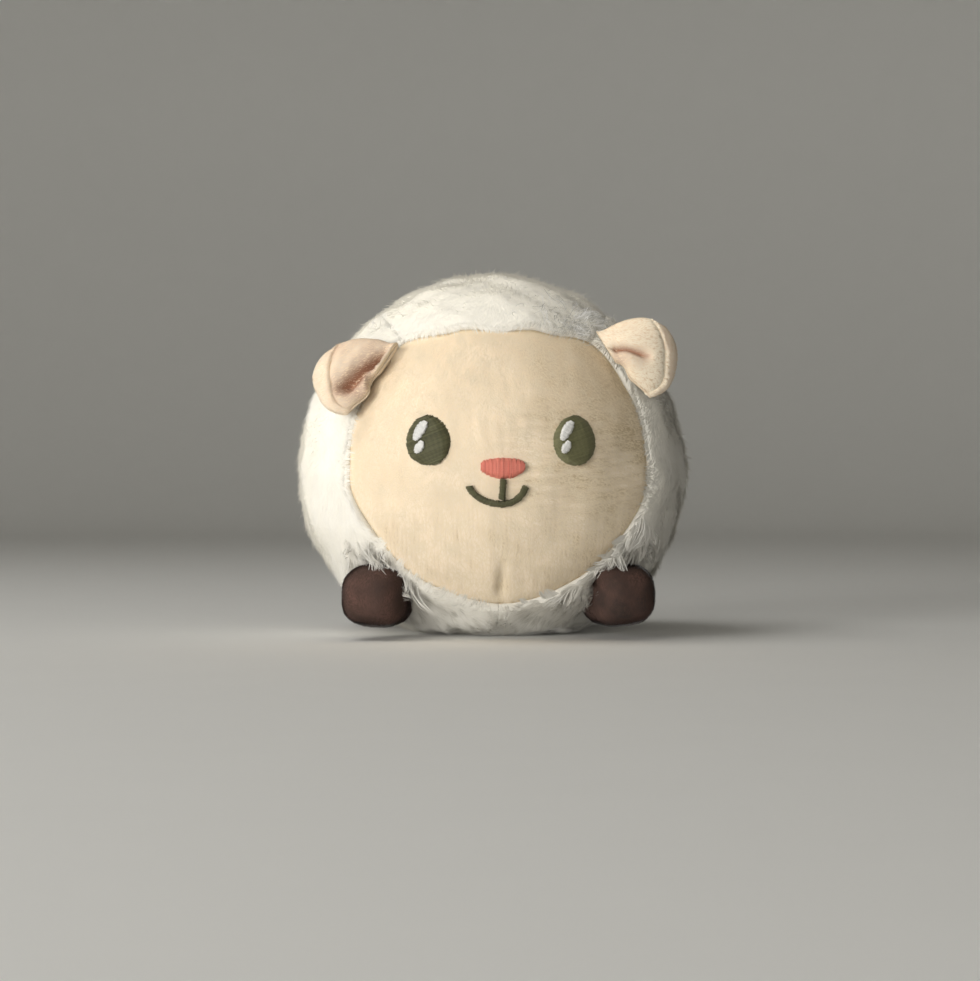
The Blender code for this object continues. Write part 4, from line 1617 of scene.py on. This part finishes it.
@dataclass
class Ear:
    """One ear: a lining and an outer layer, pinched at the sewn root."""

    ball: Ball
    side: Side
    seam_turn: float
    lean: float
    skew: float
    rise: float
    bend_back: float
    inset: float
    crease: Crease
    # Both ears are one velour: the right ear's lower tone is painted shade.
    tone: float
    brushed: float
    # Painted shading of the outer rim: above 0 it darkens, below 0 it lightens.
    rim_shade: float
    length: float = 0.0215
    width: float = 0.0240
    layer: float = 0.0022
    gap: float = 0.0003
    clearance: float = 0.0008
    puff: float = 0.0020
    root_width: float = 0.49
    tip_width: float = 0.98
    flares: tuple[float, float] = (0.60, 1.37)
    lower_width: float = 0.88
    rounds: tuple[float, float] = (0.29, 0.22)
    tip_power: float = 3.4
    open_share: float = 0.60
    puff_share: float = 0.30
    lining_end: float = 0.76
    lining_slope: float = 0.13
    lining_width: float = 0.97
    rim_rise: float = 0.0016
    rim_from: Ramp = Ramp(-0.02, 0.05)
    thin_rim: float = 0.16
    overlap: float = 0.03
    nap: float = 0.0005
    fold_span: tuple[Ramp, Ramp] = (Ramp(0.0, 0.3), Ramp(0.6, 0.25))
    fold_pitch: float = 0.00085
    hollow_side: Ramp = Ramp(0.56, 0.4)
    hollow_end: Ramp = Ramp(0.35, -0.25)
    long_edge: Ramp = Ramp(0.88, 0.10)
    rim_tone: Ramp = Ramp(0.0, 0.06)
    shade: Shade = Shade(0.0, 0.02, ((0.03, 0.004, 73), (0.04, 0.012, 74)))
    combed: Spot = (0.8, 1.0, 0.3)
    wander: float = 18
    swirl: float = 0.012
    brushed_way: Spot = (-0.7, -0.7, 0)
    fold_power: float = 0.75
    fold_length: float = 0.9
    edge_length: float = 0.8
    pull: float = 0.1
    coat: Coat = Coat(
        14, 0.0009, 0.00016, lean=(84, 89), segments=2, roll=1, scatter=12, clump_area=1.2, sink=-0.00010,
        softness=0.94, unevenness=0.8,
    )

    def hinge(self) -> tuple[Array, Array]:
        """The sewn root: its middle, and a frame with X down the root and Z off the body."""
        turn = np.array([radians(self.seam_turn)])
        turn = turn if self.side is Side.LEFT else pi - turn
        polar = self.ball.face_polar(turn) - self.inset / (self.ball.width / 2)
        proud = np.array([self.ball.face_pile])
        normal = self.ball.normal(polar, turn, proud)[0]
        lean = radians(self.lean)
        line = np.array([self.side.value * sin(lean), 0, -cos(lean)])
        line = unit(line - line @ normal * normal)
        height = (2 * self.layer + self.gap) / 2 + self.clearance
        origin = self.ball.point(polar, turn, proud)[0] + height * normal
        return origin, np.array([line, np.cross(normal, line), normal])

    def outline(self, x: Array, y: Array) -> tuple[Array, Array]:
        """The flat ear, across and along from the middle of its root: a leaf with a round tip."""
        off = 2 * x - 1
        flare = np.where(off > 0, self.flares[1], self.flares[0])
        width = self.root_width + (1 - self.root_width) * smooth_step(y / flare)
        width = width - (1 - self.tip_width) * smooth_step(2 * y - 1)
        width = width * np.where(off > 0, self.lower_width, 1)
        rounding = np.where(off > 0, self.rounds[1], self.rounds[0])
        return off * width * self.width / 2, y * self.length * (1 - rounding * np.abs(off) ** self.tip_power)

    def place(self, x: Array, y: Array, height: Array) -> Array:
        """Places on the ear for points of its flat pattern, at a height over its middle layer."""
        skew, rise, bend = (radians(angle) for angle in (self.skew, self.rise, self.bend_back))
        side = self.side.value
        along = np.array([sin(skew), side * cos(skew) * cos(rise), cos(skew) * sin(rise)])
        root_line = np.array([1.0, 0, 0])
        across_line = unit(root_line - root_line @ along * along)
        front = side * np.cross(across_line, along)
        across, reach = self.outline(x, y)
        turned = bend * reach / self.length
        radius = self.length / bend
        centre = radius * (np.sin(turned)[:, None] * along - (1 - np.cos(turned))[:, None] * front)
        facing = np.cos(turned)[:, None] * front + np.sin(turned)[:, None] * along
        opening = smooth_step(y / self.open_share)[:, None]
        line = unit(root_line * (1 - opening) + across_line * opening)
        puff = self.puff * (1 - (2 * x - 1) ** 2) * smooth_step(y / self.puff_share)
        pinch = self.crease.depth * self.crease.share(across, y)
        fold = self.fold_span[0](y) * (1 - self.fold_span[1](y))
        wrinkle = self.crease.folds * fold * np.sin((reach - across) / self.fold_pitch)
        local = centre + across[:, None] * line + (height + puff - pinch + wrinkle)[:, None] * facing
        origin, axes = self.hinge()
        return origin + local @ axes

    def lining_reach(self, x: Array) -> Array:
        """How far along the ear the lining goes, further on the lower side."""
        return self.lining_end + self.lining_slope * (2 * x - 1)

    def pillow(self, x: Array, y: Array) -> Array:
        """Thickness share of a layer, which thins towards its rim."""
        full = np.sqrt(np.clip((1 - np.abs(2 * x - 1) ** 5) * (1 - y ** 9), 0, 1))
        return self.thin_rim + (1 - self.thin_rim) * full

    def lining_share(self, units: Array) -> tuple[Array, Array]:
        """Where the lining's points lie on the ear's pattern: it ends short of the tip."""
        x, y, _ = units.T
        return 0.5 + (x - 0.5) * self.lining_width, y * self.lining_reach(x)

    def lining_place(self, units: Array) -> Array:
        """The bend of the lining."""
        thick = (self.layer - self.nap) * self.pillow(units[:, 0], units[:, 1])
        return self.place(*self.lining_share(units), self.gap / 2 + units[:, 2] * thick)

    def outer_place(self, units: Array) -> Array:
        """The bend of the outer layer, whose thick rim stands forward beyond the lining."""
        x, y, top = units.T
        reach = self.lining_reach(x)
        beyond = np.clip((y - reach) / (1 - reach), 0, 1)
        thick = (self.layer - self.nap) * self.pillow(x, y)
        rim = self.rim_rise * np.sqrt(1 - beyond ** 2) * self.rim_from(y - reach)
        rim = rim * self.pillow(x, np.zeros_like(y))
        return self.place(x, y, -self.gap / 2 - (1 - top) * thick + top * rim)

    def outer_shows(self, units: Array) -> Array:
        """True for the outer layer's points that the lining leaves free."""
        return ~on_top(units) | (units[:, 1] > self.lining_reach(units[:, 0]) - self.overlap)

    def build(self, velour: Fabric) -> None:
        """Builds both layers and their pile of this velour."""
        body = f"ear_{self.side.label}"
        layers = (
            ("lining", self.lining_place, on_top),
            ("outer", self.outer_place, self.outer_shows),
        )
        for order, (layer, place, grows) in enumerate(layers):
            name = f"{body}_{layer}"
            cloth = velour.lay(name, flat_slab(48, 56), place, grows, name, body)
            roots = Roots.on(cloth, self.coat.density, 70 + order)
            _, axes = self.hinge()
            way = np.array(self.combed) * (1, self.side.value, 1) @ axes
            lay = roots.comb(way, self.wander, self.swirl, 72)
            x, y = roots.units[:, 0], roots.units[:, 1]
            if layer == "lining":
                edge = self.edge_length * self.long_edge(y)
                x, y = self.lining_share(roots.units)
                fold = self.crease.share(self.outline(x, y)[0], y)
                # Painted shade: the lining darkens in the fold and in the hollow by its lower root.
                dark = self.crease.darkening * fold ** self.fold_power
                dark = dark + self.crease.hollow * self.hollow_side(x) * self.hollow_end(y)
                length = 1 + edge + self.fold_length * fold
            else:
                # Painted shade on the left ear's rim; the right ear's negative value paints light there.
                dark, length = self.rim_shade * self.rim_tone(y - self.lining_reach(x)), 1.0
            tone = self.shade.draw(roots.points, np.random.default_rng(75), self.tone - dark)
            facing = unit(roots.normals + self.brushed * np.array(self.brushed_way))
            growth = Growth(lay, tone, length, self.pull, facing=facing)
            velour.grow(f"{name}_pile", self.coat, roots, growth, 76 + order, body)


@dataclass
class Foot:
    """A stuffed stub foot under the ball."""

    ball: Ball
    side: Side
    end: End
    width: float = 0.0192
    length: float = 0.0280
    height: float = 0.0185
    spread: float = 0.03347
    reach: float = 0.02904
    lift: float = 0.0032
    taper: float = 0.12
    squareness: float = 0.74
    toe_out: float = 18
    dent: float = 0.022
    dent_size: float = 1.3
    nap: float = 0.0005
    squash_layer: float = 0.0030
    bare_layer: float = 0.0032
    tone: float = 0.38
    # Painted shade: the feet on the toy's left are darker than those on its right.
    tone_step: float = 0.14
    tone_spread: float = 0.06
    clouds: tuple[tuple[float, float], ...] = ((0.10, 0.004), (0.18, 0.009))
    wander: float = 24
    swirl: float = 0.010
    pull: float = 0.12
    coat: Coat = Coat(
        12, 0.0011, 0.00018, lean=(50, 82), segments=2, roll=12, scatter=14, clump_area=1.4, sink=0.0001,
        softness=0.92,
    )

    @property
    def middle(self) -> Array:
        """Where the foot's middle is."""
        return np.array([
            self.side.value * self.spread + self.ball.shift[0],
            self.end.value * self.reach + self.ball.shift[1],
            self.height / 2 + self.lift,
        ])

    def place(self, units: Array) -> Array:
        """The shape of the foot, for points of a ball of radius one."""
        x, y, z = (np.sign(part) * np.abs(part) ** self.squareness for part in units.T)
        swell = 1 + self.taper * self.end.value * units[:, 1]
        halves = [size / 2 - self.nap for size in (self.width, self.length, self.height)]
        shape = np.stack([halves[0] * x * swell, halves[1] * y, halves[2] * z * swell], axis=-1)
        seed = 81 + self.side.value + 2 * self.end.value
        dent = 1 - self.dent * waves(units, self.dent_size, seed)[:, None]
        turned = -self.end.value * self.side.value * radians(self.toe_out)
        turn = np.array([[cos(turned), sin(turned), 0], [-sin(turned), cos(turned), 0], [0, 0, 1]])
        return self.ball.keep_out(shape * np.minimum(dent, 1) @ turn + self.middle, self.squash_layer)

    def build(self, velour: Fabric) -> None:
        """Builds the foot's cover and its pile of this velour."""
        name = f"foot_{self.end.label}_{self.side.label}"
        cloth = velour.lay(name, round_ball(56, 36), self.place, everywhere, f"{name}_cover")
        seed = 400 + 10 * (self.side.value + 2 * self.end.value)
        roots = Roots.on(cloth, self.coat.density, seed)
        roots = roots.only(self.ball.inside(roots.points, self.bare_layer) > 1)
        lay = roots.comb(np.array([0, self.end.value, -0.8]), self.wander, self.swirl, seed + 1)
        clouds = tuple((*cloud, seed + 2 + order) for order, cloud in enumerate(self.clouds))
        shade = Shade(self.tone - self.tone_step * self.side.value, self.tone_spread, clouds)
        tone = shade.draw(roots.points, np.random.default_rng(seed + 4))
        velour.grow(f"{name}_pile", self.coat, roots, Growth(lay, tone, pull=self.pull), seed + 5)


@dataclass
class Tail:
    """A small stuffed tuft of fleece."""

    ball: Ball
    width: float = 0.0150
    height: float = 0.0170
    length: float = 0.0150
    drop: float = 0.0060
    nap: float = 0.0016
    squash_layer: float = 0.0030
    bare_layer: float = 0.0032
    combed: Spot = (0, 0.4, -1.0)
    wander: float = 25
    swirl: float = 0.010
    shade: Shade = Shade(0.70, 0.12)
    pull: float = 0.5
    coat: Coat = Coat(4, 0.0048, 0.00032, lean=(15, 60))

    def place(self, units: Array) -> Array:
        """The shape of the tail, for points of a ball of radius one."""
        halves = np.array([self.width, self.length, self.height]) / 2 - self.nap
        middle = np.array([
            self.ball.shift[0], self.ball.depth / 2 + self.ball.shift[1], self.ball.waist - self.drop,
        ])
        return self.ball.keep_out(units * halves + middle, self.squash_layer)

    def build(self, fleece: Fabric) -> None:
        """Builds the tail's cloth and its pile of this fleece."""
        cloth = fleece.lay("tail", round_ball(40, 24), self.place, everywhere, "tail")
        roots = Roots.on(cloth, self.coat.density, 500)
        roots = roots.only(self.ball.inside(roots.points, self.bare_layer) > 1)
        lay = roots.comb(np.array(self.combed), self.wander, self.swirl, 501)
        tone = self.shade.draw(roots.points, np.random.default_rng(502))
        fleece.grow("tail_pile", self.coat, roots, Growth(lay, tone, pull=self.pull), 503)


@dataclass
class Studio:
    """A plain pale floor with a round sweep, soft lamps and the camera."""

    floor_radius: float = 1.5
    sweep_radius: float = 0.5
    wall: float = 0.7
    azimuth: float = -3.0
    distance: float = 0.69
    target: Spot = (-0.00045, 0.0, 0.04215)
    lens: float = 84.4
    lamps: tuple[tuple[str, Spot, float, float, Colour], ...] = (
        ("key_lamp", (-0.92, -0.92, 0.20), 0.50, 7.9, (1.0, 0.985, 0.95)),
        ("front_lamp", (-0.40, -1.0, 0.09), 0.60, 3.3, (1.0, 0.975, 0.93)),
        ("top_lamp", (-0.5, -0.1, 0.95), 0.60, 2.8, (1.0, 0.985, 0.95)),
    )
    room: Colour = (1.0, 0.95, 0.84)
    room_strength: float = 0.10

    def build_floor(self) -> None:
        """Spins the profile of the floor and its sweep."""
        steps = 16
        profile = [(0.0, 0.0), (self.floor_radius, 0.0)]
        for step in range(1, steps + 1):
            angle = pi / 2 * step / steps
            profile.append((
                self.floor_radius + self.sweep_radius * sin(angle), self.sweep_radius * (1 - cos(angle)),
            ))
        profile.append((self.floor_radius + self.sweep_radius, self.sweep_radius + self.wall))
        points, faces = settled(spun(profile, 96, MM / 10))
        mesh = smooth_mesh("studio_floor", points, faces)
        if mesh.polygons[0].normal.z < 0:
            mesh.flip_normals()
        mesh.materials.append(BACKDROP.material())
        floor = bpy.data.objects.new("studio_floor", mesh)
        bpy.context.scene.collection.objects.link(floor)

    def add_lamp(self, name: str, place: Spot, size: float, power: float, tint: Colour) -> None:
        """Hangs a soft square lamp that points at the toy."""
        lamp = bpy.data.lights.new(name, "AREA")
        lamp.shape, lamp.size, lamp.energy, lamp.color = "SQUARE", size, power, tint
        thing = bpy.data.objects.new(name, lamp)
        thing.location = place
        thing.rotation_euler = (Vector(self.target) - Vector(place)).to_track_quat("-Z", "Y").to_euler()
        bpy.context.scene.collection.objects.link(thing)

    def build(self) -> None:
        """Sets up floor, lamps, world and camera."""
        self.build_floor()
        for lamp in self.lamps:
            self.add_lamp(*lamp)
        world = bpy.data.worlds.new("soft_room")
        world.use_nodes = True
        backdrop = world.node_tree.nodes["Background"]
        backdrop.inputs["Color"].default_value = (*self.room, 1)
        backdrop.inputs["Strength"].default_value = self.room_strength
        bpy.context.scene.world = world
        camera = bpy.data.cameras.new("photo_camera")
        camera.lens = self.lens
        camera.clip_start = 0.01
        thing = bpy.data.objects.new("photo_camera", camera)
        turn = radians(self.azimuth)
        away = Vector((sin(turn), -cos(turn), 0)) * self.distance
        thing.location = Vector(self.target) + away
        thing.rotation_euler = (-away).to_track_quat("-Z", "Y").to_euler()
        bpy.context.scene.collection.objects.link(thing)
        bpy.context.scene.camera = thing
        bpy.context.scene.view_settings.view_transform = "Standard"
        log.info("studio: floor, %d lamps and camera", len(self.lamps))


def dress_hidden_filling() -> None:
    """Gives the filling inside the body and the feet its loose fibre look."""
    look = FILLING.material()
    for name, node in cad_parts.items():
        if name == "stuffing_core" or name.endswith("_filling"):
            node.data.materials.clear()
            node.data.materials.append(look)


def main() -> None:
    """Builds every piece in order and reports it."""
    logging.basicConfig(level=logging.INFO, format="%(message)s")
    low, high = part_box("stuffing_core")
    ball = Ball(shift=((low.x + high.x) / 2, (low.y + high.y) / 2))
    log.info("body centre at %.5f, %.5f", *ball.shift)
    feet = [Foot(ball, side, end) for end in End for side in Side]
    embroidery = Embroidery(ball)
    fleece = Fabric("fleece", FLEECE_CLOTH.material(), FLEECE_PILE.material())
    ear_velour = Fabric("ear_velour", EAR_CLOTH.material(), EAR_PILE.material())
    foot_velour = Fabric("foot_velour", FOOT_CLOTH.material(), FOOT_PILE.material())
    FleeceCover(ball, [foot.middle + np.array([0, 0, 0.006]) for foot in feet]).build(fleece)
    FacePanel(ball, embroidery).build(Fabric("face_velour", FACE_CLOTH.material(), FACE_PILE.material()))
    embroidery.build()
    Ear(
        ball, Side.LEFT, seam_turn=49, lean=8, skew=46, rise=52, bend_back=68, inset=0.0028,
        tone=0.97, brushed=0.25, rim_shade=0.20,
        crease=Crease(
            root=0.0010, tip=-0.0010, bow=0.0010, depth=0.0030, upper_width=0.0006, lower_width=0.0012,
            reach=0.42, fade=0.16, darkening=0.95, hollow=0.40, folds=0.0,
        ),
    ).build(ear_velour)
    Ear(
        ball, Side.RIGHT, seam_turn=45, lean=20, skew=56, rise=21, bend_back=10, inset=0.0052,
        # Painted shade: the right ear's lower tone.
        tone=0.70, brushed=0.0, rim_shade=-0.16,
        crease=Crease(
            root=-0.0015, tip=0.0044, bow=0.0, depth=0.0052, upper_width=0.0014, lower_width=0.0022,
            reach=0.56, fade=0.26, darkening=0.84, hollow=0.10, folds=0.00014,
        ),
    ).build(ear_velour)
    for foot in feet:
        foot.build(foot_velour)
    Tail(ball).build(fleece)
    dress_hidden_filling()
    Studio().build()


if __name__ == "__main__":
    main()
